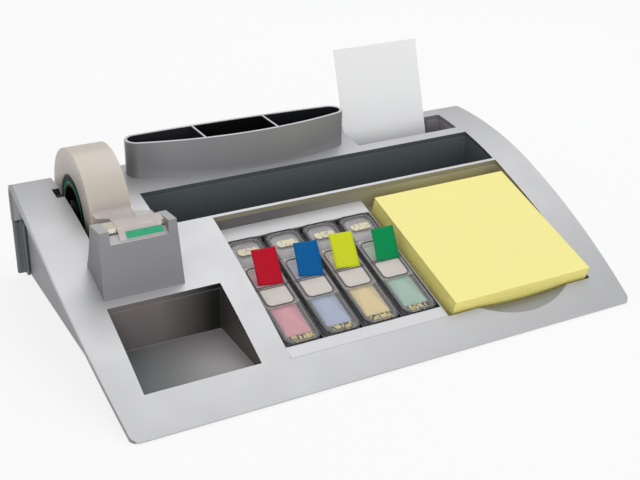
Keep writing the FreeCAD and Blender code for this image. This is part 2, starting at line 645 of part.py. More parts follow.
def clip_tray():
    keep("clip_tray", open_tray("clips", "clip_left", "clip_width", "clip_front", "clip_depth",
                                "base_top", "clip_floor"))


def pen_tray():
    keep("pen_tray", open_tray("pens", "trough_left", "trough_width", "trough_front", "trough_depth",
                               "deck_top", "trough_floor", "(party_wall / 2)"))


def card_pocket():
    keep("card_pocket", open_tray("cards", "card_left", "card_width", "card_front", "card_depth",
                                  "base_top", "card_floor"))


def notes_well():
    """A well with a sloped floor that carries the note pad and the flag tray."""
    wide = ("well_left - tray_wall", "well_width + 2 * tray_wall")
    back_wall = "(party_wall / 2 - seat_gap)"
    frame = box("notes_frame", *wide, "well_front - tray_wall", f"well_depth + tray_wall + {back_wall}",
                "base_top", "sky")
    hollow = box("notes_hollow", "well_left", "well_width", "well_front", "well_depth", "0", "2 * sky")
    reach = ("-sky / 4", "2 * sky")
    above = sloped_box("notes_above", *wide, *reach, "-well_drop - well_floor", "sky")
    walls = common("notes_walls", cut("notes_sides", frame, hollow), above)
    slab = sloped_box("notes_slab", *wide, *reach, "-well_drop - well_floor", "well_floor")
    plate = common("notes_plate", slab, box("notes_bounds", *wide, "well_front - tray_wall",
                                            f"well_depth + tray_wall + {back_wall}", "base_top", "sky"))
    ceiling = under_surface("notes_ceiling", "(skin + seat_gap)")
    keep("notes_well", common("notes_solid", join("notes_blank", walls, plate), ceiling))


# Tape dispenser -------------------------------------------------------------------------------

def tape_cradle():
    """Two walls with slots for the axle, a front wall and a low rear wall."""
    walls = [
        box("cradle_left", "tape_well_left - cradle_wall", "cradle_wall", "cradle_front - side_wall",
            "cradle_back + 2 * side_wall - cradle_front", "base_top", "sky"),
        box("cradle_right", "tape_well_left + tape_well_width", "cradle_wall", "cradle_front - side_wall",
            "cradle_back + 2 * side_wall - cradle_front", "base_top", "sky"),
        box("cradle_face", "tape_well_left - overcut", "tape_well_width + 2 * overcut",
            "cradle_front - side_wall", "side_wall", "base_top", "sky"),
        box("cradle_rear", "tape_well_left - overcut", "tape_well_width + 2 * overcut",
            "cradle_back", "side_wall", "base_top", "cradle_sill"),
    ]
    blank = common("cradle_blank", join("cradle_walls", *walls),
                   under_surface("cradle_ceiling", "(skin + seat_gap)"))
    keep("tape_cradle", cut("cradle_solid", blank, axle_slots("cradle_slots")))


def tape_tower():
    """The cutter block: ears, a land for the tape's end, and the seat of the blade."""
    block = padded("tower_block", "YZ_Plane", "tower_left", "tower_width", [
        ("tower_front", "-overcut"),
        ("tower_front + tower_foot", "-overcut"),
        ("tower_front + tower_foot", "tower_shoulder", "-tower_hollow"),
        ("tower_front + tower_ledge", "tower_top - tower_fall"),
        ("tower_front", "tower_top"),
    ])
    right = "tower_left + tower_width"
    taper = padded("tower_sides", "XZ_Plane", "-(tower_front + tower_foot + overcut)",
                   "tower_foot + 2 * overcut", [
                       ("tower_left - overcut", "-overcut"),
                       (right, "-overcut"),
                       (right, "land_height / 2"),
                       (f"{right} - tower_taper", "tower_top + overcut"),
                       ("tower_left - overcut", "tower_top + overcut"),
                   ])
    recess = padded("tower_recess", "YZ_Plane", "tower_left + ear_width",
                    "tower_width - ear_width - right_ear", [
        ("tower_front - overcut", "land_height"),
        ("tower_front", "land_height"),
        ("tower_front + land_depth", "land_height + land_rise"),
        ("tower_front + land_depth", "land_height - blade_groove"),
        ("tower_front + blade_setback", "land_height - blade_groove"),
        ("tower_front + blade_setback", "blade_seat"),
        ("tower_front + tower_foot", "blade_seat"),
        ("tower_front + tower_foot", "tower_top + overcut"),
        ("tower_front - overcut", "tower_top + overcut"),
    ])
    crown = under_surface("tower_ground", "0")
    keep("tape_tower", cut("tower_solid", common("tower_blank", block, taper), recess, crown))


def cutter_blade():
    """A bent steel strip; one notch of its lip is repeated along its length."""
    start = "tower_left + ear_width + seat_gap"
    width = "(tower_width - ear_width - right_ear - 2 * seat_gap)"
    lip = "blade_seat - blade_drop"
    body = padded("cutter", "YZ_Plane", start, width, [
        ("blade_edge", lip),
        ("blade_edge + blade_sheet", lip),
        ("blade_edge + blade_sheet", "blade_seat"),
        ("blade_edge + blade_sheet + blade_shelf", "blade_seat"),
        ("blade_edge + blade_sheet + blade_shelf", "blade_top"),
        ("blade_edge", "blade_top"),
    ])
    sketch = draw_on(body, "notch_outline", "XZ_Plane", "0", [[
        (start, f"{lip} - overcut"),
        (f"{start} + tooth_pitch * 0.96", f"{lip} - overcut"),
        (f"{start} + tooth_pitch * 0.96", lip),
        (f"{start} + tooth_pitch / 2", f"{lip} + tooth_depth"),
        (start, lip),
    ]])
    notch = body.newObject("PartDesign::Pocket", "notch")
    notch.Profile = sketch
    notch.Type = "ThroughAll"
    notch.Midplane = True
    doc.recompute()
    teeth = body.newObject("PartDesign::LinearPattern", "teeth")
    teeth.Originals = [notch]
    teeth.Direction = (sketch, ["H_Axis"])
    bind(teeth, Length=f"(floor({width} / tooth_pitch) - 1) * tooth_pitch", Occurrences=f"floor({width} / tooth_pitch)")
    body.Tip = teeth
    keep("cutter_blade", body)


def tape_strip():
    """Slack tape from the front of the roll over the blade, with its end folded down to the land."""
    above = "(strip_curl - strip_thickness)"
    beyond = "(strip_reach + strip_thickness)"
    keep("tape_strip", padded("strip", "YZ_Plane", "roll_left", "tape_width", [
        ("flap_y", "flap_z"),
        ("bend_y", "bend_z"),
        ("strip_crest", "bend_z"),
        ("curl_y - strip_curl * sin(strip_dip)", "curl_z - strip_curl * cos(strip_dip)", "strip_curl"),
        ("axle_back - strip_reach * cos(strip_leave)", "axle_height + strip_reach * sin(strip_leave)"),
        (f"axle_back - {beyond} * cos(strip_leave)", f"axle_height + {beyond} * sin(strip_leave)", f"-{above}"),
        (f"curl_y - {above} * sin(strip_dip)", f"curl_z - {above} * cos(strip_dip)"),
        ("strip_crest", "bend_z + strip_thickness"),
        ("bend_y - strip_thickness / 2", "bend_z + strip_thickness"),
        ("flap_y - strip_thickness", "flap_z + strip_thickness / 2"),
    ]))


def tape_label():
    """A coloured label on the outside of the folded end."""
    run = "(bend_y - flap_y + strip_thickness / 2)"
    climb = "(bend_z - flap_z + strip_thickness / 2)"
    low = (f"flap_y - strip_thickness + {run} * label_low", f"flap_z + strip_thickness / 2 + {climb} * label_low")
    high = (f"flap_y - strip_thickness + {run} * label_high", f"flap_z + strip_thickness / 2 + {climb} * label_high")
    keep("tape_label", padded("label", "YZ_Plane", "roll_left + label_inset", "tape_width - label_inset", [
        low,
        high,
        (f"{high[0]} - label_thickness", f"{high[1]} + label_thickness / 2"),
        (f"{low[0]} - label_thickness", f"{low[1]} + label_thickness / 2"),
    ]))


def ring(name, outside, inside, width, x):
    """A ring round the tape axle."""
    at = (x, "axle_back", "axle_height", ALONG_X)
    bore_at = (f"{x} - overcut", "axle_back", "axle_height", ALONG_X)
    return cut(name, cylinder(name + "_outside", outside, width, *at),
               cylinder(name + "_bore", inside, f"{width} + 2 * overcut", *bore_at))


def tape_spool():
    """The roll on its core, and the hub whose axle ends turn in the slots."""
    keep("tape_roll", ring("roll", "roll_radius", "core_radius", "tape_width", "roll_left"))
    keep("tape_core", ring("core", "core_radius", "core_bore", "tape_width", "roll_left"))
    middle = "roll_left + tape_width / 2"
    rim = ring("hub_rim", "core_bore", "core_bore - hub_wall", "tape_width", "roll_left")
    disc = cylinder("hub_disc", "core_bore - hub_wall / 2", "hub_web", f"{middle} - hub_web / 2",
                    "axle_back", "axle_height", ALONG_X)
    boss = cylinder("hub_boss_bar", "hub_boss", "tape_width", "roll_left", "axle_back", "axle_height", ALONG_X)
    axle = cylinder("axle", "axle_radius", "tape_well_width + 2 * axle_reach", "tape_well_left - axle_reach",
                    "axle_back", "axle_height", ALONG_X)
    keep("tape_hub", join("hub", rim, disc, boss, axle))


# Contents -------------------------------------------------------------------------------------

def pen_cup():
    """A lens-shaped cup with two dividers, standing on the deck."""
    outer = lens("cup_outer", "0", "deck_top", "cup_rim - deck_top")
    room = lens("cup_room", "cup_wall", "deck_top + cup_wall", "sky")
    left_face = "cup_centre - cup_offset - cup_middle / 2 - divider"
    ribs = [box(f"cup_divider_{side}", x, "divider", "cup_back - cup_depth - overcut",
                "cup_depth + 2 * overcut", "deck_top", "sky")
            for side, x in (("left", left_face), ("right", f"{left_face} + divider + cup_middle"))]
    keep("pen_cup", cut("cup_solid", outer, cut("cup_rooms", room, *ribs)))


def business_card():
    """A card that stands on the pocket's floor and leans on the rear edge of its opening."""
    item = doc.addObject("Part::Box", "card")
    item.Placement = FreeCAD.Placement(FreeCAD.Vector(), FreeCAD.Rotation(TILT_BACK, 1))
    item.setExpression(".Placement.Rotation.Angle", formula("card_lean"))
    bind(item, Length="card_face", Width="card_stock", Height="card_length")
    edge_y = "(card_front + card_depth)"
    edge_z = f"(rear_centre_z + sqrt(crown_radius ^ 2 - ({edge_y} - rear_centre_y) ^ 2))"
    floor = "(base_top + card_floor)"
    place(item, "card_left + card_margin",
          f"{edge_y} - seat_gap - ({edge_z} - {floor}) * tan(card_lean) - card_stock * cos(card_lean)",
          f"{floor} + card_stock * sin(card_lean)")
    keep("business_card", item)


def note_pad():
    keep("note_pad", sloped_box("pad", "well_left + well_width - pad_gap - pad_side", "pad_side", "pad_start",
                                "pad_side", "-well_drop", "pad_height"))


def flag_tray():
    """A flat-topped insert in the note well with a recess and ribs for four flag cases."""
    slab = sloped_box("flag_slab", "well_left + seat_gap", "flag_width", "-overcut", "2 * sky",
                      "-well_drop", "well_drop")
    frame = box("flag_frame", "well_left + seat_gap", "flag_width", "well_front + seat_gap",
                "well_depth - 2 * seat_gap", "0", "sky")
    recess = sloped_box("flag_recess", "well_left + seat_gap + flag_rim", "flag_width - 2 * flag_rim",
                        "flag_land", "flag_run", "flag_floor - well_drop", "well_drop")
    ribs = [sloped_box(f"flag_rib_{index}", f"case_left - rib - case_play + case_pitch * {index}", "rib",
                       "flag_land - seat_gap", "flag_run + 2 * seat_gap", "flag_floor / 2 - well_drop",
                       "rib_height + flag_floor / 2") for index in (1, 2, 3)]
    tray = cut("flag_tray_blank", common("flag_block", slab, frame), recess)
    keep("flag_tray", join("flag_tray_solid", tray, *ribs))


PLACES["case_left"] = "(well_left + seat_gap + flag_rim + case_play)"
PLACES["case_start"] = "(flag_land + seat_gap)"
PLACES["case_bottom"] = "(flag_floor - well_drop)"


def flag_cases():
    """Four shallow cases, each with a window that a flag stands out of."""
    for index, colour in enumerate(FLAG_NAMES):
        x = f"case_left + case_pitch * {index}"
        length = "(flag_run - 2 * seat_gap)"
        block = sloped_box(f"case_block_{colour}", x, "case_width", "case_start", length, "case_bottom",
                           "case_height")
        room = sloped_box(f"case_room_{colour}", f"{x} + case_skin", "case_width - 2 * case_skin",
                          "case_start + case_skin", f"{length} - 2 * case_skin", "case_bottom + case_skin",
                          "case_height - 2 * case_skin")
        window = sloped_box(f"case_window_{colour}", f"{x} + (case_width - window_side) / 2", "window_side",
                            "case_start + window_start", "window_side", "case_bottom + case_height / 2",
                            "case_height")
        keep(f"flag_case_{colour}", cut(f"case_{colour}", rounded(f"case_shell_{colour}", block, "case_corner"),
                                        room, window))


def flag_strips():
    """In each case a stack of flags whose top one stands up through the window."""
    for index, colour in enumerate(FLAG_NAMES):
        x = f"case_left + case_pitch * {index} + (case_width - tab_width) / 2"
        stack = sloped_box(f"stack_{colour}", x, "tab_width", "case_start + stack_start", "stack_length",
                           "case_bottom + case_skin", "stack_height")
        tab = doc.addObject("Part::Box", f"tab_{colour}")
        tab.Placement = FreeCAD.Placement(FreeCAD.Vector(), FreeCAD.Rotation(X_AXIS, 1))
        tab.setExpression(".Placement.Rotation.Angle", formula("tab_slope"))
        bind(tab, Length="tab_width", Width="tab_length", Height="tab_thickness")
        place(tab, x, *sloped_place("case_start + tab_start", "case_bottom + case_skin + stack_height / 2"))
        keep(f"flag_strip_{colour}", join(f"strip_{colour}", stack, tab))


# Drawer ---------------------------------------------------------------------------------------

def drawer_tray():
    """Open tray with one partition."""
    outer = box("tray_block", "drawer_left", "drawer_width", "drawer_start", "front_face - drawer_start",
                "drawer_bottom", "drawer_height")
    room = box("tray_room", "drawer_left + drawer_wall", "drawer_width - 2 * drawer_wall",
               "drawer_start + drawer_wall", "front_face - drawer_start - 2 * drawer_wall",
               "drawer_bottom + drawer_wall", "sky")
    partition = box("tray_partition", "drawer_left + drawer_wall + partition_place", "drawer_wall",
                    "drawer_start", "front_face - drawer_start", "drawer_bottom", "drawer_height")
    keep("drawer_tray", join("tray_solid", cut("tray_shell", outer, room), partition))


def drawer_front():
    """The full-width rear panel with rounded ends, a finger notch and two locating ribs."""
    x = "(front_width - rear_width) / 2"
    panel = rounded("panel", box("panel_block", x, "rear_width", "front_face", "drawer_face",
                                 "foot_reach", "drawer_top - foot_reach"), "drawer_end")
    cheeks = [box(f"cheek_{side}", place_x, "cheek", "front_face - cheek_reach", "cheek_reach + drawer_face / 2",
                  "foot_reach", "drawer_top - foot_reach - seat_gap")
              for side, place_x in (("left", "cheek_inset"), ("right", "front_width - cheek_inset - cheek"))]
    notch = cylinder("finger_notch", "notch_radius", "drawer_face + 2 * overcut", "front_width / 2",
                     "front_face - overcut", "drawer_top + notch_rise", ALONG_Y)
    keep("drawer_front", cut("panel_solid", join("panel_blank", panel, *cheeks), notch))


for build in (top_shell, base_housing, rubber_feet, case_screws, ballast, drawer_bay, clip_tray, pen_tray,
              card_pocket, notes_well, tape_cradle, tape_tower, cutter_blade, tape_strip, tape_label,
              tape_spool, pen_cup, business_card, note_pad, flag_tray, flag_cases, flag_strips,
              drawer_tray, drawer_front):
    build()
doc.recompute()

for item in doc.Objects:
    if "Invalid" in item.State or "Error" in item.State:
        raise RuntimeError(f"{item.Name} did not recompute: {item.State}")
os.makedirs("parts", exist_ok=True)
for node, item in PARTS:
    shape = item.Shape
    if shape.isNull() or not shape.isValid() or not shape.Solids:
        raise RuntimeError(f"{node} has no valid solid")
    shape.exportStep(os.path.join("parts", node + ".step"))
    bounds = shape.BoundBox
    print(f"{node}: {len(shape.Solids)} solid, {shape.Volume:.0f} mm3, x {bounds.XMin:.2f} {bounds.XMax:.2f}, "
          f"y {bounds.YMin:.2f} {bounds.YMax:.2f}, z {bounds.ZMin:.2f} {bounds.ZMax:.2f}")
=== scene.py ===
"""Desk organizer with tape dispenser and drawer: finishes, loose contents, stage and camera.

The mouldings come from the packed frame. Each is copied, merged, given soft edges and a finish.
Metres throughout. +X runs to the right along the front edge, +Y to the back, +Z up.
"""

import json
import math

import bmesh
import bpy
import numpy as np
from bpy.props import FloatProperty, FloatVectorProperty, IntProperty, PointerProperty
from mathutils import Matrix, Vector


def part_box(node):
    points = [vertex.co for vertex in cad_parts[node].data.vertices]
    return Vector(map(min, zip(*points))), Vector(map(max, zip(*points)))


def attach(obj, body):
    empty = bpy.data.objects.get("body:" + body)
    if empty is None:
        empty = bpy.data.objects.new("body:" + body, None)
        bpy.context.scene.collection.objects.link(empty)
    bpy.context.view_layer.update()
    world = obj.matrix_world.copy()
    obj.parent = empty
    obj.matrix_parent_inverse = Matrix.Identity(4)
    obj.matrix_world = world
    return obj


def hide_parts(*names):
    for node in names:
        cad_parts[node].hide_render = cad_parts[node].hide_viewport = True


bl_info = {
    "name": "Desk organizer",
    "version": (1, 0, 0),
    "blender": (4, 5, 0),
    "location": "View3D > Sidebar > Organizer",
    "description": "Builds the finishes and contents of a desk organizer round its frame",
    "category": "Object",
}

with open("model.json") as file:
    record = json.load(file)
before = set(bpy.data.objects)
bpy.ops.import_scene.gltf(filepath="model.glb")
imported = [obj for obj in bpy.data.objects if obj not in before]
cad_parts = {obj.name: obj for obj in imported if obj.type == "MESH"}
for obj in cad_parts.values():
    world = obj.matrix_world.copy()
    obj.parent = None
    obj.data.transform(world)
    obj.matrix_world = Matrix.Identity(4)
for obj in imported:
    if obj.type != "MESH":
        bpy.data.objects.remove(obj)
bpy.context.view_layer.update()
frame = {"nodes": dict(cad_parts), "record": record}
RECORD = frame["record"]
BODIES = {node: body for body, nodes in RECORD["behaviour"]["bodies"].items() for node in nodes}
FLAGS = ("red", "blue", "lime", "green")
CORNERS = ("front_left", "front_right", "rear_left", "rear_right")

# Places in plan that the shell's finish marks, in metres.
NOTCHES = ((-0.10915, -0.1054), (-0.0806, -0.07685))
NOTCH_FRONT, NOTCH_BACK = 0.0517, 0.0603
SCOOP_CENTRE = (0.0721, -0.0307)
SCOOP_REACH = (0.0433, 0.0411)
SCOOP_PLAN = (0.0341, 0.1101, -0.0790, -0.0636)
SIDE_LENGTH, SIDE_BOW, SIDE_HALF = 0.0785, 0.0042, 0.1242

# The pen cup's plan: a lens between two arcs, cut off by a tip at each end, turned on the shell.
CUP_TURN = math.radians(2.5)
CUP_SHIFT = -0.00034
CUP_FRONT_ARC = (0.0, 0.1782, 0.18825)
CUP_BACK_ARC = (0.0, -0.8892, 0.89925)
CUP_TIP = (0.05064, 0.00286, 0.00575)
CUP_DIVIDERS = (-0.0358, 0.0015)

CORE_LIP = 0.0130  # radius of the tape core's inner edge, where a highlight is painted
NEAR_BLACK = (0.003, 0.003, 0.003, 1.0)

# The note pad, and where it lies in its tilted well.
PAD_SIDE, PAD_HEIGHT = 0.076, 0.010
PAD_START, PAD_FLOOR = 0.0015, -0.0046

# The flags: the stack's half width and its ends up the slope, a flag's half width and its lean.
STACK_HALF, STACK_START, STACK_END = 0.0061, 0.0122, 0.0570
FLAG_HALF_WIDTH = 0.0058
FLAG_LEAN = math.radians(55.0)


# Materials ------------------------------------------------------------------------------------

class Graph:
    """A material's node tree, written as calls that return sockets."""

    def __init__(self, name):
        self.material = bpy.data.materials.new(name)
        self.material.use_nodes = True
        self.tree = self.material.node_tree
        self.tree.nodes.clear()
        self.place = self.add("ShaderNodeTexCoord").outputs["Object"]

    def add(self, kind, inputs=None, **settings):
        node = self.tree.nodes.new(kind)
        for name, value in settings.items():
            setattr(node, name, value)
        for name, value in (inputs or {}).items():
            if isinstance(value, bpy.types.NodeSocket):
                self.tree.links.new(value, node.inputs[name])
            else:
                node.inputs[name].default_value = value
        return node

    def at(self, centre=(0, 0, 0), scale=(1, 1, 1)):
        """Object coordinates measured from a centre, then stretched."""
        moved = self.add("ShaderNodeVectorMath", {0: self.place, 1: centre},
                         operation="SUBTRACT").outputs[0]
        return self.add("ShaderNodeVectorMath", {0: moved, 1: scale}, operation="MULTIPLY").outputs[0]

    def dot(self, vector, direction):
        return self.add("ShaderNodeVectorMath", {0: vector, 1: direction},
                        operation="DOT_PRODUCT").outputs["Value"]

    def noise(self, scale, detail=2.0, vector=None):
        return self.add("ShaderNodeTexNoise", {"Vector": vector or self.place, "Scale": scale,
                                               "Detail": detail}).outputs["Fac"]

    def math(self, operation, a, b=0.0, c=0.0):
        return self.add("ShaderNodeMath", {0: a, 1: b, 2: c}, operation=operation).outputs[0]

    def spread(self, value, low, high, to_low=0.0, to_high=1.0):
        """Map a value from one range to another, held at the ends."""
        return self.add("ShaderNodeMapRange", {"Value": value, "From Min": low, "From Max": high,
                                               "To Min": to_low, "To Max": to_high}).outputs[0]

    def blend(self, amount, first, second):
        node = self.add("ShaderNodeMix", data_type="RGBA")
        for socket, value in ((node.inputs[0], amount), (node.inputs[6], first), (node.inputs[7], second)):
            if isinstance(value, bpy.types.NodeSocket):
                self.tree.links.new(value, socket)
            else:
                socket.default_value = value
        return node.outputs[2]

    def axis(self, vector, index):
        return self.add("ShaderNodeSeparateXYZ", {0: vector}).outputs[index]

    def bump(self, height, distance, strength=1.0, normal=None):
        inputs = {"Height": height, "Distance": distance, "Strength": strength}
        if normal is not None:
            inputs["Normal"] = normal
        return self.add("ShaderNodeBump", inputs).outputs[0]

    def finish(self, **sockets):
        inputs = {name.replace("_", " "): value for name, value in sockets.items()}
        shader = self.add("ShaderNodeBsdfPrincipled", inputs)
        output = self.add("ShaderNodeOutputMaterial")
        self.tree.links.new(shader.outputs[0], output.inputs[0])
        return self.material


def rgba(colour):
    return (*colour[:3], 1.0)


def shade(colour, factor):
    return tuple(min(part * factor, 1.0) for part in colour[:3])


def moulded(name, colour, roughness=0.45, grain=3200.0, depth=0.00003, cloud=0.05, metallic=0.0, coat=0.0,
            specular=0.5, painted_top_light=None):
    """Moulded plastic: a fine even texture, slight clouding and small changes of gloss. Its upward
    faces may take a colour of their own, painted light on the top."""
    graph = Graph(name)
    clouds = graph.noise(14.0, 3.0)
    base = graph.blend(clouds, rgba(shade(colour, 1.0 - cloud)), rgba(shade(colour, 1.0 + cloud)))
    # painted light: faces that point up take a lighter colour
    if painted_top_light:
        facing = graph.add("ShaderNodeNewGeometry").outputs["True Normal"]
        base = graph.blend(graph.math("GREATER_THAN", graph.axis(facing, 2), 0.8), base, rgba(painted_top_light))
    texture = graph.noise(grain, 2.0)
    gloss = graph.spread(graph.noise(70.0, 2.0), 0.3, 0.7, roughness - 0.04, roughness + 0.04)
    return graph.finish(Base_Color=base, Roughness=gloss, Metallic=metallic, Coat_Weight=coat,
                        Specular_IOR_Level=specular, Normal=graph.bump(texture, depth, 0.35))


def shell_finish(colour, side, linings, trays, roughness):
    """Satin silver lacquer: fine flakes and slight clouding. The walls of its openings take the colour of
    the tray below, painted light and shade included. Painted shade darkens a line along its left edge, the
    axle's notches and the finger scoop."""
    graph = Graph("satin_silver_shell")
    x, y = graph.axis(graph.place, 0), graph.axis(graph.place, 1)
    along = graph.math("MULTIPLY", y, 1.0 / SIDE_LENGTH)
    bow = graph.math("MULTIPLY", graph.math("SUBTRACT", 1.0, graph.math("MULTIPLY", along, along)), SIDE_BOW)
    inside = graph.math("ADD", graph.math("ADD", bow, SIDE_HALF), x)
    # painted shade: a dark line along the crease just inside the left edge
    painted_crease_shade = graph.spread(inside, 0.0004, 0.0009, 1.0, 0.0)
    flakes = graph.noise(5200.0, 1.0)
    clouds = graph.noise(9.0, 3.0)
    base = graph.blend(clouds, rgba(shade(colour, 0.97)), rgba(shade(colour, 1.03)))
    base = graph.blend(graph.spread(flakes, 0.55, 0.8, 0.0, 0.25), base, rgba(shade(colour, 1.35)))
    base = graph.blend(graph.math("MULTIPLY", painted_crease_shade, 0.5), base, rgba(shade(colour, 0.4)))
    facing = graph.add("ShaderNodeNewGeometry").outputs["True Normal"]
    base = graph.blend(graph.math("LESS_THAN", graph.axis(facing, 0), -0.5), base, rgba(side))
    upright = graph.math("LESS_THAN", graph.math("ABSOLUTE", graph.axis(facing, 2)), 0.2)
    for node, lining in linings:
        low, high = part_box(node)
        in_opening = graph.math("MULTIPLY", upright, in_plan(graph, low[0], high[0], low[1], high[1]))
        base = graph.blend(in_opening, base, rgba(lining))
    # the clip tray opening's walls take the tray's painted shade and light
    low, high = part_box("clip_tray")
    in_opening = graph.math("MULTIPLY", upright, in_plan(graph, low[0], high[0], low[1], high[1]))
    base = graph.blend(in_opening, base, clip_colour(graph, trays))
    # painted shade: the axle's notches near black
    for left, right in NOTCHES:
        base = graph.blend(in_plan(graph, left, right, NOTCH_FRONT, NOTCH_BACK), base, NEAR_BLACK)
    # painted shade: the finger scoop darker, most next to the pad, with a yellowish tint
    across = graph.math("MULTIPLY", graph.math("SUBTRACT", x, SCOOP_CENTRE[0]), 1.0 / SCOOP_REACH[0])
    back = graph.math("MULTIPLY", graph.math("SUBTRACT", y, SCOOP_CENTRE[1]), 1.0 / SCOOP_REACH[1])
    reach = graph.math("ADD", graph.math("MULTIPLY", across, across), graph.math("MULTIPLY", back, back))
    painted_scoop_shade = graph.math("MULTIPLY", graph.spread(reach, 0.985, 1.0, 1.0, 0.0),
                        graph.spread(y, -0.0735, -0.066, 0.55, 0.85))
    painted_scoop_shade = graph.math("MULTIPLY", painted_scoop_shade, in_plan(graph, *SCOOP_PLAN))
    base = graph.blend(painted_scoop_shade, base, rgba((colour[0] * 0.36, colour[1] * 0.36, colour[2] * 0.31)))
    gloss = graph.spread(graph.noise(60.0, 2.0), 0.3, 0.7, roughness - 0.03, roughness + 0.05)
    return graph.finish(Base_Color=base, Roughness=gloss, Metallic=0.45,
                        Normal=graph.bump(graph.math("MULTIPLY", flakes, 0.15), 0.00006, 0.5))


def in_plan(graph, left, right, front, back):
    """One inside a rectangle of the plan, zero outside it."""
    inside = 1.0
    for index, low, high in ((0, left, right), (1, front, back)):
        value = graph.axis(graph.place, index)
        inside = graph.math("MULTIPLY", inside, graph.math("GREATER_THAN", value, low))
        inside = graph.math("MULTIPLY", inside, graph.math("LESS_THAN", value, high))
    return inside


def tray_finish(name, colour, dark, start, end):
    """Grey moulding whose colour changes along X from start to end."""
    graph = Graph(name)
    fall = graph.spread(graph.axis(graph.place, 0), start, end)
    return trays_gloss(graph, graph.blend(fall, rgba(colour), rgba(dark)))


def clip_finish(settings):
    """The clip tray: painted shade and light change the colour of each wall and of its floor along its own
    length.
    """
    graph = Graph("clip_tray_grey")
    return trays_gloss(graph, clip_colour(graph, settings))


def clip_colour(graph, settings):
    """The clip tray's colours, painted shade and light over silver: by x on the floor and the back wall, by y
    on the side wall.
    """
    low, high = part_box("clip_tray")
    x, y = graph.axis(graph.place, 0), graph.axis(graph.place, 1)
    facing = graph.add("ShaderNodeNewGeometry").outputs["True Normal"]
    middle = low[0] + 0.45 * (high[0] - low[0])
    # painted shade: the back wall darkens to near black towards its right end
    back = graph.blend(graph.spread(x, middle, high[0] - 0.006), rgba(settings.clip_wall),
                       rgba(settings.painted_depth_shade))
    # painted shade: the side wall darker towards the back
    side = graph.blend(graph.spread(y, low[1], high[1]), (0.13, 0.13, 0.10, 1.0), (0.07, 0.054, 0.06, 1.0))
    # painted light: the floor lighter towards the right, against the shade at the back right
    floor = graph.blend(graph.spread(x, low[0], high[0]), rgba(settings.clip_floor),
                        (0.42, 0.38, 0.39, 1.0))
    wall = graph.blend(graph.math("LESS_THAN", graph.axis(facing, 0), -0.5), back, side)
    return graph.blend(graph.math("GREATER_THAN", graph.axis(facing, 2), 0.7), wall, floor)


def trays_gloss(graph, base):
    """The trays' satin surface over a colour, with faint clouds."""
    cloudy = graph.spread(graph.noise(20.0, 3.0), 0.3, 0.7, 0.0, 0.12)
    base = graph.blend(cloudy, base, (0.10, 0.10, 0.10, 1.0))
    texture = graph.noise(2600.0, 2.0)
    return graph.finish(Base_Color=base, Roughness=0.42, Metallic=0.25,
                        Normal=graph.bump(texture, 0.00003, 0.35))


def brushed(name, colour, roughness, stretch=(40.0, 3000.0, 3000.0)):
    """Steel brushed along X: long streaks in colour, gloss and height."""
    graph = Graph(name)
    streaks = graph.noise(1.0, 4.0, graph.at(scale=stretch))
    base = graph.blend(streaks, rgba(shade(colour, 0.8)), rgba(shade(colour, 1.12)))
    gloss = graph.spread(streaks, 0.3, 0.7, roughness - 0.06, roughness + 0.08)
    return graph.finish(Base_Color=base, Roughness=gloss, Metallic=1.0,
                        Normal=graph.bump(streaks, 0.00002, 0.4))


def radius_from(graph, centre):
    """Distance from the tape's axle, which lies along X."""
    flat = graph.at(centre, (0.0, 1.0, 1.0))
    return graph.add("ShaderNodeVectorMath", {0: flat}, operation="LENGTH").outputs["Value"]


def wound_tape(colour, centre):
    """Frosted film wound in a roll: fine rings on its ends, which painted shade makes darker and warmer
    towards the core.
    """
    graph = Graph("wound_tape")
    reach = radius_from(graph, centre)
    rings = graph.math("SINE", graph.math("MULTIPLY", reach, 2.0 * math.pi / 0.00045))
    uneven = graph.noise(1.0, 3.0, graph.at(centre, (30.0, 220.0, 220.0)))
    # painted shade: the roll's ends darker and warmer towards the core
    painted_depth_shade = graph.spread(reach, 0.0168, 0.0285)
    base = graph.blend(painted_depth_shade, rgba(shade(colour, 0.68)), rgba(colour))
    base = graph.blend(graph.math("MULTIPLY", uneven, 0.18), base, rgba(shade(colour, 0.75)))
    height = graph.math("ADD", graph.math("MULTIPLY", rings, 0.25), uneven)
    return graph.finish(Base_Color=base, Roughness=0.38, Subsurface_Weight=0.35,
                        Subsurface_Radius=(0.004, 0.003, 0.002), Subsurface_Scale=0.8,
                        Coat_Weight=0.15, Coat_Roughness=0.25,
                        Normal=graph.bump(height, 0.00004, 0.35))


def film(name, colour, cover=1.0, roughness=0.3, fade=None):
    """A layer of frosted film; the part of it that isn't cover lets what lies under it show. Between
    the two ends of fade, along Y, the cover falls to nothing."""
    graph = Graph(name)
    cloudy = graph.noise(240.0, 3.0)
    base = graph.blend(cloudy, rgba(shade(colour, 0.92)), rgba(shade(colour, 1.05)))
    if fade:
        cover = graph.spread(graph.axis(graph.place, 1), fade[0], fade[1], cover, 0.0)
    return graph.finish(Base_Color=base, Roughness=roughness, Alpha=cover, Coat_Weight=0.3,
                        Coat_Roughness=0.15, Normal=graph.bump(cloudy, 0.00005, 0.3))


def core_finish(colour, centre):
    """Green core, dark all over, the depth of its bore included, with a painted highlight on its inner edge.
    """
    graph = Graph("tape_core_green")
    reach = radius_from(graph, centre)
    # painted highlight: a bright ring at the core's inner edge
    from_lip = graph.math("ABSOLUTE", graph.math("SUBTRACT", reach, CORE_LIP))
    painted_lip_highlight = graph.spread(from_lip, 0.0003, 0.0007, 1.0, 0.0)
    base = graph.blend(painted_lip_highlight, rgba(shade(colour, 0.10)), rgba(shade(colour, 1.9)))
    return graph.finish(Base_Color=base, Roughness=0.45, Specular_IOR_Level=0.12,
                        Normal=graph.bump(graph.noise(2500.0), 0.00002, 0.3))


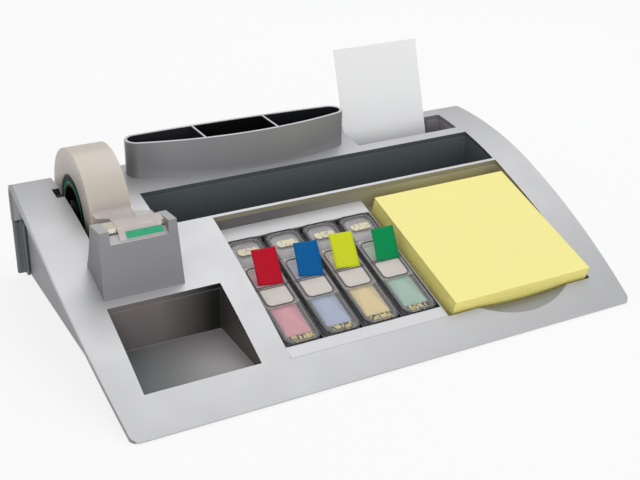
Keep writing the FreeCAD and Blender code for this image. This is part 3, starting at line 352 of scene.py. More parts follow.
def paper(name, colour, edge, normal_axis, pitch=0.00012, roughness=0.75):
    """Paper: faint fibres on its faces; cut edges are darker and show the separate sheets."""
    graph = Graph(name)
    fibres = graph.noise(1400.0, 4.0)
    clouds = graph.noise(18.0, 2.0)
    base = graph.blend(graph.math("MULTIPLY", clouds, 0.5), rgba(colour), rgba(shade(colour, 0.965)))
    base = graph.blend(graph.math("MULTIPLY", fibres, 0.12), base, rgba(shade(colour, 0.88)))
    facing = graph.add("ShaderNodeNewGeometry").outputs["Normal"]
    lean = graph.dot(facing, normal_axis)
    cut_edge = graph.spread(graph.math("ABSOLUTE", lean), 0.5, 0.75, 1.0, 0.0)
    level = graph.dot(graph.place, normal_axis)
    stretched = graph.add("ShaderNodeCombineXYZ", {
        0: graph.math("MULTIPLY", level, 1.0 / pitch),
        1: graph.math("MULTIPLY", graph.axis(graph.place, 0), 60.0)}).outputs[0]
    layer = graph.noise(1.0, 2.0, stretched)
    sides = graph.blend(layer, rgba(shade(edge, 0.88)), rgba(shade(edge, 1.06)))
    base = graph.blend(cut_edge, base, sides)
    height = graph.math("ADD", graph.math("MULTIPLY", fibres, 0.3), graph.math("MULTIPLY", layer, cut_edge))
    return graph.finish(Base_Color=base, Roughness=roughness, Normal=graph.bump(height, 0.00005, 0.5))


# Meshes ---------------------------------------------------------------------------------------

def link(name, mesh, material, body="organizer"):
    """Put a mesh in the scene as a piece that rides on a body."""
    piece = bpy.data.objects.new(name, mesh)
    bpy.context.scene.collection.objects.link(piece)
    mesh.materials.clear()
    mesh.materials.append(material)
    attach(piece, body)
    return piece


def soften(piece, width, segments=2, angle=32.0):
    """Round a piece's edges with a bevel and even out the shading."""
    if width > 0.0:
        bevel = piece.modifiers.new("edges", "BEVEL")
        bevel.width = width
        bevel.segments = segments
        bevel.limit_method = "ANGLE"
        bevel.angle_limit = math.radians(angle)
        bevel.miter_outer = "MITER_ARC"
    normals = piece.modifiers.new("normals", "WEIGHTED_NORMAL")
    normals.keep_sharp = True


def dress(node, material, width=0.0003, segments=2):
    """Copy a frame node, merge its points and give the copy soft edges and a finish."""
    mesh = frame["nodes"][node].data.copy()
    work = bmesh.new()
    work.from_mesh(mesh)
    bmesh.ops.remove_doubles(work, verts=work.verts, dist=2e-6)
    bmesh.ops.dissolve_limit(work, angle_limit=math.radians(0.3), verts=work.verts, edges=work.edges)
    for face in work.faces:
        face.smooth = True
    for edge in work.edges:
        edge.smooth = len(edge.link_faces) != 2 or edge.calc_face_angle(0.0) < math.radians(32.0)
    work.to_mesh(mesh)
    work.free()
    if mesh.has_custom_normals:
        mesh.attributes.remove(mesh.attributes["custom_normal"])
    mesh.name = node + "_moulding"
    piece = link(node + "_moulding", mesh, material, BODIES[node])
    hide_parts(node)
    soften(piece, width, segments)
    return piece


def grid_mesh(name, points, closed_u=False, closed_v=False):
    """A mesh from a grid of points (rows, columns, 3)."""
    rows, columns = points.shape[:2]
    index = np.arange(rows * columns).reshape(rows, columns)
    if closed_u:
        index = np.vstack([index, index[:1]])
    if closed_v:
        index = np.hstack([index, index[:, :1]])
    quads = np.stack([index[:-1, :-1], index[:-1, 1:], index[1:, 1:], index[1:, :-1]], axis=-1)
    quads = quads.reshape(-1, 4)
    mesh = bpy.data.meshes.new(name)
    mesh.from_pydata(points.reshape(-1, 3).tolist(), [], quads.tolist())
    mesh.polygons.foreach_set("use_smooth", np.ones(len(quads), dtype=bool))
    mesh.update()
    return mesh


def point_out(mesh):
    """Make a closed mesh's faces point outwards."""
    work = bmesh.new()
    work.from_mesh(mesh)
    bmesh.ops.remove_doubles(work, verts=work.verts, dist=1e-7)
    bmesh.ops.recalc_face_normals(work, faces=work.faces)
    work.to_mesh(mesh)
    work.free()
    return mesh


TILT = math.radians(17.3)
UP_SLOPE = np.array([0.0, math.cos(TILT), math.sin(TILT)])
OFF_SLOPE = np.array([0.0, -math.sin(TILT), math.cos(TILT)])
PAD_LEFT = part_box("note_pad")[0][0]
TRAY_LOW, TRAY_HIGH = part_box("flag_tray")
WELL_ORIGIN = np.array([0.0, TRAY_LOW[1] - 0.00005, 0.00888])


def well_place(x, run, rise):
    """Points of the note well's frame: x, distance up its slope, height square to it."""
    x, run, rise = np.broadcast_arrays(x, run, rise)
    return (WELL_ORIGIN + x[..., None] * np.array([1.0, 0.0, 0.0]) + run[..., None] * UP_SLOPE
            + rise[..., None] * OFF_SLOPE)


# Sizes and colours a user may change ----------------------------------------------------------

def colour_of(label, description, default):
    return FloatVectorProperty(name=label, description=description, default=default, size=3,
                               subtype="COLOR", min=0.0, max=1.0)


class ShellSettings(bpy.types.PropertyGroup):
    """Shell, base and drawer."""
    silver: colour_of("Shell", "Lacquer of the curved shell", (0.50, 0.50, 0.508))
    side: colour_of("Side walls", "Base and side walls", (0.27, 0.26, 0.275))
    drawer: colour_of("Drawer", "Drawer front and tray", (0.125, 0.141, 0.151))
    gloss: FloatProperty(name="Roughness", description="Roughness of the lacquer", default=0.42, min=0.0,
                         max=1.0, subtype="FACTOR")


class TraySettings(bpy.types.PropertyGroup):
    """Trays that hang under the shell."""
    tray: colour_of("Trays", "Clip tray and note well", (0.24, 0.23, 0.23))
    # the clip tray's colours are painted shade and light over silver
    clip_wall: colour_of("Clip tray walls", "Back wall of the clip tray", (0.19, 0.165, 0.165))
    painted_depth_shade: colour_of("Deep corner", "Far end of the clip tray's back wall", (0.010, 0.011, 0.007))
    clip_floor: colour_of("Clip tray floor", "Left end of the clip tray's floor", (0.14, 0.175, 0.17))
    # painted light: yellow light reflected from the pad onto the note well's walls
    painted_yellow_bounce: colour_of("Warm walls", "Walls of the note well beside the pad", (0.44, 0.41, 0.28))
    pocket: colour_of("Card pocket", "Right end of the card pocket", (0.36, 0.335, 0.38))
    liner: colour_of("Pen tray", "Pen tray and card pocket", (0.100, 0.117, 0.123))
    insert: colour_of("Flag tray", "Pale top of the flag tray", (0.55, 0.55, 0.56))


class TapeSettings(bpy.types.PropertyGroup):
    """Tape dispenser."""
    block: colour_of("Cutter block", "Block that carries the blade", (0.27, 0.265, 0.28))
    tape: colour_of("Tape", "Frosted film", (0.60, 0.54, 0.47))
    strip: colour_of("Free tape", "Single layer of tape off the roll", (0.80, 0.725, 0.705))
    core: colour_of("Core", "Tape core", (0.0, 0.19, 0.10))
    label: colour_of("Label", "Label on the tape's end", (0.03, 0.36, 0.17))
    blade: colour_of("Blade", "Serrated blade", (0.80, 0.74, 0.60))


class ContentSettings(bpy.types.PropertyGroup):
    """Cup, notes, flags and card."""
    cup: colour_of("Cup", "Pen cup", (0.275, 0.273, 0.28))
    notes: colour_of("Notes", "Top of the note pad", (0.93, 0.85, 0.31))
    notes_edge: colour_of("Notes' edges", "Cut edges of the note pad", (0.92, 0.83, 0.27))
    card: colour_of("Card", "Business card", (0.93, 0.93, 0.93))
    sheets: IntProperty(name="Pad layers", description="Separate layers that the pad shows",
                        default=20, min=2)


class StageSettings(bpy.types.PropertyGroup):
    """Camera and lights."""
    azimuth: FloatProperty(name="Azimuth", description="Camera's bearing", default=math.radians(28.61),
                           subtype="ANGLE", unit="ROTATION")
    elevation: FloatProperty(name="Elevation", description="Camera's height above the horizon",
                             default=math.radians(25.92), subtype="ANGLE", unit="ROTATION")
    roll: FloatProperty(name="Roll", description="Camera's roll", default=math.radians(-0.75),
                        subtype="ANGLE", unit="ROTATION")
    distance: FloatProperty(name="Distance", description="Camera to target", default=0.552, unit="LENGTH")
    lens: FloatProperty(name="Lens", description="Focal length in millimetres on a 36 mm sensor",
                        default=64.449)
    key: FloatProperty(name="Overhead light", description="Power of the overhead light in watts",
                       default=4.6)
    front: FloatProperty(name="Front light", description="Power of the light before the front in watts",
                         default=4.6)
    room: FloatProperty(name="Room light", description="Strength of the even light", default=0.55)


# Operators ------------------------------------------------------------------------------------

class ORGANIZER_OT_shell(bpy.types.Operator):
    """Finish the shell, the base, the feet and the screws"""
    bl_idname = "organizer.shell"
    bl_label = "Shell and base"

    def execute(self, context):
        settings = context.scene.organizer_shell
        trays = context.scene.organizer_trays
        # the note well's lining carries the painted yellow light reflected from the pad
        linings = (("pen_tray", trays.liner), ("card_pocket", shade(trays.pocket, 0.8)),
                   ("notes_well", shade(trays.painted_yellow_bounce, 0.7)))
        shell = shell_finish(settings.silver, settings.side, linings, trays, settings.gloss)
        dress("top_shell", shell, 0.0006, 3)
        side = moulded("satin_grey_base", settings.side, 0.42, metallic=0.2)
        dress("base_housing", side, 0.0003)
        dress("drawer_bay", moulded("grey_bay", shade(settings.side, 0.8), 0.5), 0.0002)
        dress("ballast_weight", brushed("sheared_steel", (0.42, 0.42, 0.43), 0.45), 0.0003)
        rubber = moulded("foot_rubber", (0.03, 0.03, 0.03), 0.85, 1800.0, 0.00005)
        zinc = brushed("zinc_steel", (0.55, 0.55, 0.57), 0.3, (900.0, 900.0, 900.0))
        for corner in CORNERS:
            dress("rubber_foot_" + corner, rubber, 0.0004, 3)
            dress("case_screw_" + corner, zinc, 0.0001, 1)
        return {"FINISHED"}


class ORGANIZER_OT_drawer(bpy.types.Operator):
    """Finish the drawer and its full-width front"""
    bl_idname = "organizer.drawer"
    bl_label = "Drawer"

    def execute(self, context):
        colour = context.scene.organizer_shell.drawer
        dress("drawer_front", moulded("slate_drawer_front", colour, 0.38, coat=0.1), 0.0005, 3)
        dress("drawer_tray", moulded("slate_drawer_tray", shade(colour, 0.85), 0.45), 0.0003)
        return {"FINISHED"}


class ORGANIZER_OT_trays(bpy.types.Operator):
    """Finish the clip tray, the note well, the pen tray, the card pocket and the flag tray"""
    bl_idname = "organizer.trays"
    bl_label = "Trays"

    def execute(self, context):
        settings = context.scene.organizer_trays
        dress("clip_tray", clip_finish(settings), 0.0003)
        # painted light and shade: the walls grey in shade at the left, taking on yellow light reflected from
        # the pad towards the right
        dress("notes_well", tray_finish("note_well_grey", shade(settings.tray, 0.62), settings.painted_yellow_bounce,
                                        TRAY_LOW[0] + 0.03, TRAY_HIGH[0] + 0.03), 0.0002)
        dress("pen_tray", moulded("slate_liner", settings.liner, 0.36, 2600.0, 0.00002, 0.12), 0.0003)
        # painted shadow: dark at the left beside the card, the pocket's own mauve grey at the right
        dress("card_pocket", tray_finish("card_pocket_grey", shade(settings.liner, 0.4), settings.pocket,
                                         0.098, 0.102), 0.0003)
        dress("flag_tray", self.two_tone(settings), 0.00025)
        return {"FINISHED"}

    def two_tone(self, settings):
        """Pale top surface, dark below it: the height square to the slope decides. Below the top, painted
        shade darkens it further with depth.
        """
        graph = Graph("flag_tray_two_tone")
        from_top = graph.at(tuple(WELL_ORIGIN))
        height = graph.dot(from_top, tuple(OFF_SLOPE))
        top = graph.spread(height, -0.0009, -0.0003)
        clouds = graph.noise(30.0, 3.0)
        pale = graph.blend(clouds, rgba(shade(settings.insert, 0.96)), rgba(shade(settings.insert, 1.03)))
        # painted shade: darker towards near black with depth below the top
        dark = graph.blend(graph.spread(height, -0.0045, -0.001), (0.008, 0.008, 0.009, 1.0),
                           (0.16, 0.16, 0.165, 1.0))
        base = graph.blend(top, dark, pale)
        return graph.finish(Base_Color=base, Roughness=graph.spread(top, 0.0, 1.0, 0.18, 0.4), Metallic=0.2,
                            Normal=graph.bump(graph.noise(2800.0), 0.00002, 0.3))


class ORGANIZER_OT_tape(bpy.types.Operator):
    """Finish the tape dispenser: cradle, cutter block, blade, roll, core, hub and the free tape"""
    bl_idname = "organizer.tape"
    bl_label = "Tape dispenser"

    def execute(self, context):
        settings = context.scene.organizer_tape
        low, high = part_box("tape_roll")
        axle = tuple((low[i] + high[i]) / 2 for i in range(3))
        dress("tape_cradle", moulded("cradle_black", (0.018, 0.018, 0.02), 0.5), 0.0003)
        # painted light: the cutter block's upward faces are painted a lighter grey
        dress("tape_tower", moulded("block_grey", settings.block, 0.42, 2400.0, 0.00004, 0.06, 0.3,
                                   painted_top_light=(0.47, 0.46, 0.46)), 0.0003, 2)
        steel = moulded("blade_steel", settings.blade, 0.26, 1800.0, 0.00002, 0.08, 1.0)
        dress("cutter_blade", steel, 0.00008, 1)
        dress("tape_roll", wound_tape(settings.tape, axle), 0.0005, 3)
        dress("tape_core", core_finish(settings.core, axle), 0.0002)
        dress("tape_hub", moulded("hub_black", (0.008, 0.008, 0.009), 0.4), 0.0003)
        self.free_tape(settings)
        return {"FINISHED"}

    def free_tape(self, settings):
        """The strip from the roll over the blade, whose film fades out next to the roll, and its label."""
        material = film("free_tape", settings.strip, 0.5, fade=(0.0165, 0.0225))
        strip = dress("tape_strip", material, 0.00004, 1)
        strip.modifiers["edges"].angle_limit = math.radians(60.0)
        dress("tape_label", self.label_finish(settings.label), 0.00003, 1)

    def label_finish(self, colour):
        """Printed patch: slightly uneven ink."""
        graph = Graph("label_ink")
        uneven = graph.noise(500.0, 3.0)
        base = graph.blend(uneven, rgba(shade(colour, 0.8)), rgba(shade(colour, 1.25)))
        return graph.finish(Base_Color=base, Roughness=0.3, Normal=graph.bump(uneven, 0.00003, 0.3))


class ORGANIZER_OT_cup(bpy.types.Operator):
    """Finish the pen cup: satin outside, a painted highlight on its rim, and painted shade in its cells, of
    three strengths
    """
    bl_idname = "organizer.cup"
    bl_label = "Pen cup"

    def execute(self, context):
        settings = context.scene.organizer_contents
        low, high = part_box("pen_cup")
        graph = Graph("cup_grey")
        inside = self.inner_walls(graph, low, high)
        clouds = graph.noise(16.0, 3.0)
        outer = graph.blend(clouds, rgba(shade(settings.cup, 0.94)), rgba(shade(settings.cup, 1.06)))
        x = graph.axis(graph.place, 0)
        # painted shade: the cells' inner walls near black, each cell a different darkness
        painted_cell_shade = graph.blend(graph.math("LESS_THAN", x, CUP_DIVIDERS[0]), (0.002, 0.002, 0.003, 1.0),
                           (0.030, 0.027, 0.036, 1.0))
        painted_cell_shade = graph.blend(graph.math("GREATER_THAN", x, CUP_DIVIDERS[1]), painted_cell_shade, (0.010, 0.013, 0.015, 1.0))
        base = graph.blend(inside, outer, painted_cell_shade)
        facing = graph.add("ShaderNodeNewGeometry").outputs["True Normal"]
        # painted highlight: a pale band on the rim's upward faces
        rim = graph.math("MULTIPLY", graph.math("GREATER_THAN", graph.axis(facing, 2), 0.6),
                         graph.math("GREATER_THAN", graph.axis(graph.place, 2), high[2] - 0.0006))
        base = graph.blend(rim, base, (0.66, 0.66, 0.68, 1.0))
        finish = graph.finish(Base_Color=base, Roughness=graph.spread(inside, 0.0, 1.0, 0.34, 0.6),
                              Metallic=0.35, Specular_IOR_Level=0.25,
                              Normal=graph.bump(graph.noise(2600.0), 0.00003, 0.35))
        dress("pen_cup", finish, 0.00025, 2)
        return {"FINISHED"}

    def inner_walls(self, graph, low, high):
        """One inside the cup: within both large arcs and both tips by half a wall, below the rim."""
        middle = ((low[0] + high[0]) / 2, (low[1] + high[1]) / 2 + CUP_SHIFT, 0.0)
        spot = graph.at(middle, (1.0, 1.0, 0.0))
        across = graph.dot(spot, (math.cos(CUP_TURN), -math.sin(CUP_TURN), 0.0))
        along = graph.dot(spot, (math.sin(CUP_TURN), math.cos(CUP_TURN), 0.0))
        across = graph.math("ABSOLUTE", across)

        def within(x, y, reach):
            gap_x, gap_y = graph.math("SUBTRACT", across, x), graph.math("SUBTRACT", along, y)
            square = graph.math("ADD", graph.math("MULTIPLY", gap_x, gap_x),
                                graph.math("MULTIPLY", gap_y, gap_y))
            return graph.math("LESS_THAN", square, reach ** 2)

        inside = graph.math("LESS_THAN", graph.axis(graph.place, 2), high[2] - 0.0004)
        inside = graph.math("MULTIPLY", inside, within(*CUP_FRONT_ARC))
        inside = graph.math("MULTIPLY", inside, within(*CUP_BACK_ARC))
        ends = graph.math("MAXIMUM", graph.math("LESS_THAN", across, CUP_TIP[0]), within(*CUP_TIP))
        return graph.math("MULTIPLY", inside, ends)


class ORGANIZER_OT_notes(bpy.types.Operator):
    """Build the note pad from separate layers, and finish the card"""
    bl_idname = "organizer.notes"
    bl_label = "Notes and card"

    def execute(self, context):
        settings = context.scene.organizer_contents
        yellow = paper("note_paper", settings.notes, settings.notes_edge, tuple(OFF_SLOPE), 0.0001)
        pad = link("note_pad_layers", self.layers(settings.sheets), yellow, "organizer")
        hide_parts("note_pad")
        lean = math.radians(17.0)
        white = paper("card_stock", settings.card, shade(settings.card, 0.9),
                      (0.0, -math.cos(lean), math.sin(lean)), 0.0002, 0.55)
        dress("business_card", white, 0.00008, 1)
        return {"FINISHED"}

    def layers(self, count):
        """Slabs of sheets: rings of a square with rounded corners, position = outline drawn in by
        the ring's share, raised by the ring's height; each slab is moved and drawn in by small sines."""
        side, corner = PAD_SIDE, 0.0004
        turn = (np.arange(64) + 0.5) * 2.0 * math.pi / 64
        outward = np.stack([np.cos(turn), np.sin(turn)], axis=1)
        square = np.sign(outward) * (side / 2 - corner) + outward * corner
        layer = np.arange(count)[:, None, None]
        thick = PAD_HEIGHT / count
        draw = np.array([0.0, 0.9992, 1.0, 1.0, 0.9992, 0.0])[None, :, None]
        height = np.array([0.02, 0.02, 0.14, 0.86, 0.98, 0.98])[None, :, None] * thick
        scale = (1.0 - 0.0018 + 0.0006 * np.sin(layer * 3.1)) * draw
        across = square[None, None, :, 0] * scale + 0.00008 * np.sin(layer * 2.3)
        along = square[None, None, :, 1] * scale + 0.00007 * np.sin(layer * 1.7 + 1.0)
        rise = PAD_FLOOR + layer * thick + height + 0.0 * across
        points = well_place(PAD_LEFT + side / 2 + across, PAD_START + side / 2 + along, rise)
        slabs = points.reshape(-1, points.shape[2], 3)
        index = np.arange(len(slabs) * 64).reshape(count, 6, 64)
        index = np.concatenate([index, index[:, :, :1]], axis=2)
        quads = np.stack([index[:, :-1, :-1], index[:, :-1, 1:], index[:, 1:, 1:], index[:, 1:, :-1]],
                         axis=-1)
        mesh = bpy.data.meshes.new("note_pad_layers")
        mesh.from_pydata(slabs.reshape(-1, 3).tolist(), [], quads.reshape(-1, 4).tolist())
        return point_out(mesh)


class ORGANIZER_OT_flags(bpy.types.Operator):
    """Build the flag cases' rims and labels, the stacks of flags and the raised flags"""
    bl_idname = "organizer.flags"
    bl_label = "Flags"

    INKS = {"red": (0.47, 0.004, 0.018), "blue": (0.0, 0.105, 0.31), "lime": (0.60, 0.66, 0.02),
            "green": (0.0, 0.255, 0.075)}
    STACKS = {"red": (0.80, 0.31, 0.35), "blue": (0.42, 0.51, 0.70), "lime": (0.92, 0.72, 0.30),
              "green": (0.37, 0.62, 0.48)}
    # Each raised flag: its foot and its top across from the middle of the case, the distance up
    # the slope of its foot's left and right ends, and its length. Metres.
    LEANS = {"red": (0.0004, 0.0009, 0.0431, 0.0413, 0.0161),
             "blue": (0.0009, 0.0018, 0.0428, 0.0406, 0.0153),
             "lime": (0.0001, 0.0003, 0.0425, 0.0406, 0.0159),
             "green": (0.0012, 0.0020, 0.0408, 0.0401, 0.0152)}

    def execute(self, context):
        clear = film("clear_case", (0.50, 0.49, 0.50), 0.16, 0.07)
        # painted dark edge: a glossy black wire standing in for the dark look of the clear case's edge
        painted_dark_edge = moulded("painted_dark_edge_rim", (0.012, 0.012, 0.013), 0.16, 2400.0, 0.00002, 0.3)
        frame_edge = moulded("window_edge", (0.09, 0.085, 0.09), 0.2, 2400.0, 0.00002, 0.3)
        ends = moulded("case_end", (0.46, 0.435, 0.44), 0.3, 300.0, 0.00003, 0.12)
        gold = self.broken_print("gold_label", (0.72, 0.60, 0.22), (0.006, 0.005, 0.005), 0.48)
        cream = self.broken_print("cream_label", (0.74, 0.66, 0.44), (0.42, 0.39, 0.37), 0.42)
        # painted highlight: a pale grey wire standing in for the light line inside the case's edge
        painted_lip_highlight = moulded("case_lip", (0.24, 0.235, 0.24), 0.16, 2400.0, 0.00002, 0.3)
        veil = film("frosted_band", (0.62, 0.56, 0.54), 0.24)
        panel = moulded("frosted_panel", (0.56, 0.515, 0.47), 0.4, 900.0, 0.00003, 0.04)
        for colour in FLAGS:
            case_low, case_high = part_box("flag_case_" + colour)
            middle = (case_low[0] + case_high[0]) / 2
            dress("flag_case_" + colour, clear, 0.0004, 2)
            self.wire("case_rim_" + colour, middle, 0.0087, 0.0069, 0.0740, 0.0042, 0.0001, 0.00038, painted_dark_edge)
            self.wire("case_lip_" + colour, middle, 0.0074, 0.0082, 0.0727, 0.0034, 0.0003, 0.00024, painted_lip_highlight)
            self.slab("frosted_band_" + colour, middle, 0.0083, 0.0288, 0.0560, 0.0003, 0.0004, veil, 0.0008)
            self.wire("window_frame_" + colour, middle, 0.0069, 0.0298, 0.0546, 0.0028, 0.0005, 0.00027,
                      frame_edge)
            self.wire("window_bar_" + colour, middle, 0.0077, 0.0405, 0.0417, 0.0005, 0.0006, 0.00022,
                      frame_edge)
            self.slab("case_end_" + colour, middle, 0.0070, 0.0560, 0.0722, -0.0020, -0.0007, ends, 0.0045)
            self.slab("back_label_" + colour, middle, 0.0052, 0.0634, 0.0676, 0.0003, 0.0004, cream, 0.0018)
            self.slab("front_label_" + colour, middle + 0.0006, 0.0054, 0.0078, 0.0120, -0.0020, -0.0006,
                      gold, 0.0008)
            self.flag(colour, middle, panel)
        return {"FINISHED"}

    def broken_print(self, name, ink, ground, share):
        """Worn print: patches of ink that leave the ground bare between them."""
        graph = Graph(name)
        patches = graph.noise(1.0, 3.0, graph.at(scale=(900.0, 420.0, 420.0)))
        ink_here = graph.spread(patches, share - 0.03, share + 0.05)
        base = graph.blend(ink_here, rgba(ground), rgba(ink))
        return graph.finish(Base_Color=base, Roughness=0.4, Normal=graph.bump(patches, 0.00003, 0.3))

    def rounded(self, half, start, end, corner, count=64):
        """A rounded rectangle: each quadrant's corner centre plus the corner's radius times
        (cos a, sin a). Returns its points and the outward directions."""
        turn = (np.arange(count) + 0.5) * 2.0 * math.pi / count
        outward = np.stack([np.cos(turn), np.sin(turn)], axis=1)
        reach = np.array([half - corner, (end - start) / 2 - corner])
        return np.sign(outward) * reach + outward * corner + (0.0, (start + end) / 2), outward

    def wire(self, name, middle, half, start, end, corner, rise, radius, material):
        """A thin round wire along a rounded rectangle: path plus radius times (cos b outward,
        sin b up)."""
        path, outward = self.rounded(half, start, end, corner)
        around = np.linspace(0.0, 2.0 * math.pi, 9)[:-1]
        flat = path[:, None, :] + outward[:, None, :] * np.cos(around)[None, :, None] * radius
        level = rise + np.sin(around)[None, :] * radius
        points = well_place(middle + flat[..., 0], flat[..., 1], level)
        mesh = point_out(grid_mesh(name, points, True, True))
        return link(name, mesh, material, "organizer")

    def slab(self, name, middle, half, start, end, low, high, material, corner, slot="clear_case"):
        """A thin block along the slope: rings of a rounded rectangle, drawn in at top and bottom."""
        path, _ = self.rounded(half, start, end, corner)
        centre = np.array([0.0, (start + end) / 2])
        draw = np.array([0.0, 0.985, 1.0, 1.0, 0.985, 0.0])[:, None, None]
        edge = (high - low) * 0.12
        level = np.array([low, low, low + edge, high - edge, high, high])[:, None]
        flat = centre + draw * (path - centre)
        points = well_place(middle + flat[..., 0], flat[..., 1], level)
        return link(name, point_out(grid_mesh(name, points, False, True)), material, "organizer")

    def flag(self, colour, middle, panel):
        """The stack in the case, the frosted half of the top flag, and its coloured half standing up.
        Its position is the foot, sheared from left to right, plus the length along a direction whose
        slope eases by a quarter of a cosine, plus a lean across."""
        stack_finish = paper("stack_" + colour, self.STACKS[colour], shade(self.STACKS[colour], 0.5),
                             tuple(OFF_SLOPE), 0.00015, 0.5)
        stack = self.slab("flag_stack_" + colour, middle, STACK_HALF, STACK_START, STACK_END,
                          -0.0031, -0.0007, stack_finish, 0.0006, "flag_" + colour)
        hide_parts("flag_strip_" + colour)
        self.slab("flag_half_" + colour, middle, 0.0062, 0.0301, 0.0412, 0.0002, 0.00048, panel, 0.0022)
        foot, top, left, right, length = self.LEANS[colour]
        along = np.linspace(0.0, 1.0, 15)[:, None]
        across = np.linspace(-1.0, 1.0, 9)[None, :]
        slope = FLAG_LEAN + 0.08 * np.cos(along[:, 0] * math.pi / 2)
        step = length / (len(slope) - 1)
        run_y = np.concatenate([[0.0], np.cumsum(np.cos(slope[:-1]) * step)])[:, None]
        run_z = np.concatenate([[0.0], np.cumsum(np.sin(slope[:-1]) * step)])[:, None]
        sheared = left + (right - left) * (across + 1.0) / 2 * (1.0 - 0.6 * along)
        spread = middle + foot + (top - foot) * along + across * FLAG_HALF_WIDTH
        points = well_place(spread, sheared, 0.0007 + 0.0 * sheared)
        points[..., 1] += run_y + 0.00025 * (across ** 2)
        points[..., 2] += run_z
        name = "raised_flag_" + colour
        ink = moulded("flag_ink_" + colour, self.INKS[colour], 0.5, 1500.0, 0.00002, 0.03, specular=0.12)
        tab = link(name, grid_mesh(name, points), ink, "organizer")
        wall = tab.modifiers.new("thickness", "SOLIDIFY")
        wall.thickness = 0.00012
        wall.offset = 0.0


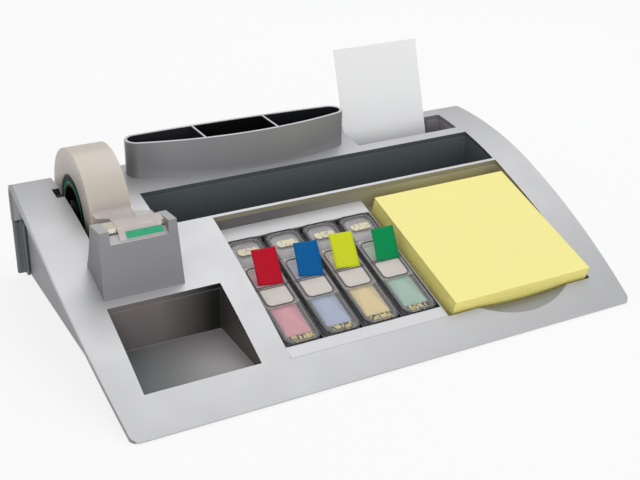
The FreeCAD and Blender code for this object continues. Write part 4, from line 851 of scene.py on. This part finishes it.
class ORGANIZER_OT_stage(bpy.types.Operator):
    """Add the floor, the lights and the camera"""
    bl_idname = "organizer.stage"
    bl_label = "Stage"

    def execute(self, context):
        settings = context.scene.organizer_stage
        self.floor()
        self.lights(context, settings)
        self.camera(context, settings)
        context.scene.view_settings.view_transform = "Standard"
        return {"FINISHED"}

    def floor(self):
        """A plain disc: rings of growing radius."""
        radius = np.array([0.0, 0.2, 0.5, 1.0, 2.0, 4.0, 8.0])[:, None]
        turn = np.linspace(0.0, 2.0 * math.pi, 65)[:-1]
        points = np.stack([radius * np.cos(turn), radius * np.sin(turn), -0.0002 + 0.0 * radius * turn],
                          axis=-1)
        mesh = grid_mesh("floor", points, False, True)
        graph = Graph("pale_floor")
        clouds = graph.noise(3.0)
        base = graph.blend(clouds, (0.80, 0.80, 0.80, 1.0), (0.84, 0.84, 0.84, 1.0))
        matt = graph.add("ShaderNodeBsdfDiffuse", {"Color": base})
        glow = graph.add("ShaderNodeEmission", {"Color": (1.0, 1.0, 1.0, 1.0), "Strength": 1.0})
        path = graph.add("ShaderNodeLightPath")
        seen = graph.math("MAXIMUM", path.outputs["Is Camera Ray"], path.outputs["Is Glossy Ray"])
        seen = graph.math("MAXIMUM", seen, path.outputs["Is Transmission Ray"])
        mix = graph.add("ShaderNodeMixShader", {0: graph.math("MULTIPLY", seen, 0.82),
                                                1: matt.outputs[0], 2: glow.outputs[0]})
        output = graph.add("ShaderNodeOutputMaterial")
        graph.tree.links.new(mix.outputs[0], output.inputs[0])
        floor = bpy.data.objects.new("floor", mesh)
        mesh.materials.append(graph.material)
        bpy.context.scene.collection.objects.link(floor)
        work = bmesh.new()
        work.from_mesh(mesh)
        bmesh.ops.remove_doubles(work, verts=work.verts, dist=1e-6)
        bmesh.ops.recalc_face_normals(work, faces=work.faces)
        work.to_mesh(mesh)
        work.free()

    def lights(self, context, settings):
        world = bpy.data.worlds.new("room")
        context.scene.world = world
        world.use_nodes = True
        nodes, links = world.node_tree.nodes, world.node_tree.links
        nodes.clear()
        path = nodes.new("ShaderNodeLightPath")
        even = nodes.new("ShaderNodeBackground")
        even.inputs[0].default_value = (0.97, 0.98, 1.0, 1.0)
        even.inputs[1].default_value = settings.room
        white = nodes.new("ShaderNodeBackground")
        white.inputs[0].default_value = (1.0, 1.0, 1.0, 1.0)
        white.inputs[1].default_value = 1.0
        mix = nodes.new("ShaderNodeMixShader")
        output = nodes.new("ShaderNodeOutputWorld")
        links.new(path.outputs["Is Camera Ray"], mix.inputs[0])
        links.new(even.outputs[0], mix.inputs[1])
        links.new(white.outputs[0], mix.inputs[2])
        links.new(mix.outputs[0], output.inputs[0])
        for name, place, target, width, power in (
                ("overhead", (0.28, 0.32, 0.95), (0.0, 0.0, 0.0), 0.9, settings.key),
                ("side_fill", (-0.75, -0.55, 0.55), (0.0, 0.0, 0.03), 0.7, settings.key * 0.12),
                ("front_fill", (-0.25, -1.05, 0.30), (0.0, 0.0, 0.03), 0.8, settings.front)):
            lamp = bpy.data.lights.new(name, "AREA")
            lamp.shape = "SQUARE"
            lamp.size = width
            lamp.energy = power
            holder = bpy.data.objects.new(name, lamp)
            holder.location = place
            holder.rotation_euler = (Vector(target) - Vector(place)).to_track_quat("-Z", "Y").to_euler()
            context.scene.collection.objects.link(holder)

    def camera(self, context, settings):
        """Stand at the given bearing, height and distance from the target, then roll."""
        turn, rise = settings.azimuth, settings.elevation
        forward = Vector((math.sin(turn) * math.cos(rise), math.cos(turn) * math.cos(rise), -math.sin(rise)))
        right = forward.cross(Vector((0.0, 0.0, 1.0))).normalized()
        down = forward.cross(right)
        rolled_right = right * math.cos(settings.roll) + down * math.sin(settings.roll)
        rolled_down = down * math.cos(settings.roll) - right * math.sin(settings.roll)
        target = Vector((0.00514, 0.00971, 0.020))
        spot = target - forward * settings.distance
        lens = bpy.data.cameras.new("camera")
        lens.lens = settings.lens
        lens.sensor_width = 36.0
        lens.sensor_fit = "HORIZONTAL"
        lens.clip_start = 0.01
        camera = bpy.data.objects.new("camera", lens)
        turned = Matrix((rolled_right, -rolled_down, -forward)).transposed().to_4x4()
        camera.matrix_world = Matrix.Translation(spot) @ turned
        context.scene.collection.objects.link(camera)
        context.scene.camera = camera


class ORGANIZER_PT_parts(bpy.types.Panel):
    """Lists the organizer's operators and settings"""
    bl_label = "Desk organizer"
    bl_space_type = "VIEW_3D"
    bl_region_type = "UI"
    bl_category = "Organizer"

    def draw(self, context):
        column = self.layout.column()
        for operator in OPERATORS:
            column.operator(operator.bl_idname)
        for name, group in SETTINGS.items():
            column.label(text=group.__doc__)
            for prop in group.__annotations__:
                column.prop(getattr(context.scene, name), prop)


SETTINGS = {"organizer_shell": ShellSettings, "organizer_trays": TraySettings, "organizer_tape": TapeSettings,
            "organizer_contents": ContentSettings, "organizer_stage": StageSettings}
OPERATORS = (ORGANIZER_OT_shell, ORGANIZER_OT_drawer, ORGANIZER_OT_trays, ORGANIZER_OT_tape, ORGANIZER_OT_cup,
             ORGANIZER_OT_notes, ORGANIZER_OT_flags, ORGANIZER_OT_stage)


def register():
    for item in (*SETTINGS.values(), *OPERATORS, ORGANIZER_PT_parts):
        bpy.utils.register_class(item)
    for name, group in SETTINGS.items():
        setattr(bpy.types.Scene, name, PointerProperty(type=group))


def unregister():
    for name in SETTINGS:
        delattr(bpy.types.Scene, name)
    for item in reversed((*SETTINGS.values(), *OPERATORS, ORGANIZER_PT_parts)):
        bpy.utils.unregister_class(item)


def main():
    register()
    for operator in OPERATORS:
        group, name = operator.bl_idname.split(".")
        getattr(getattr(bpy.ops, group), name)()


if __name__ == "__main__":
    main()
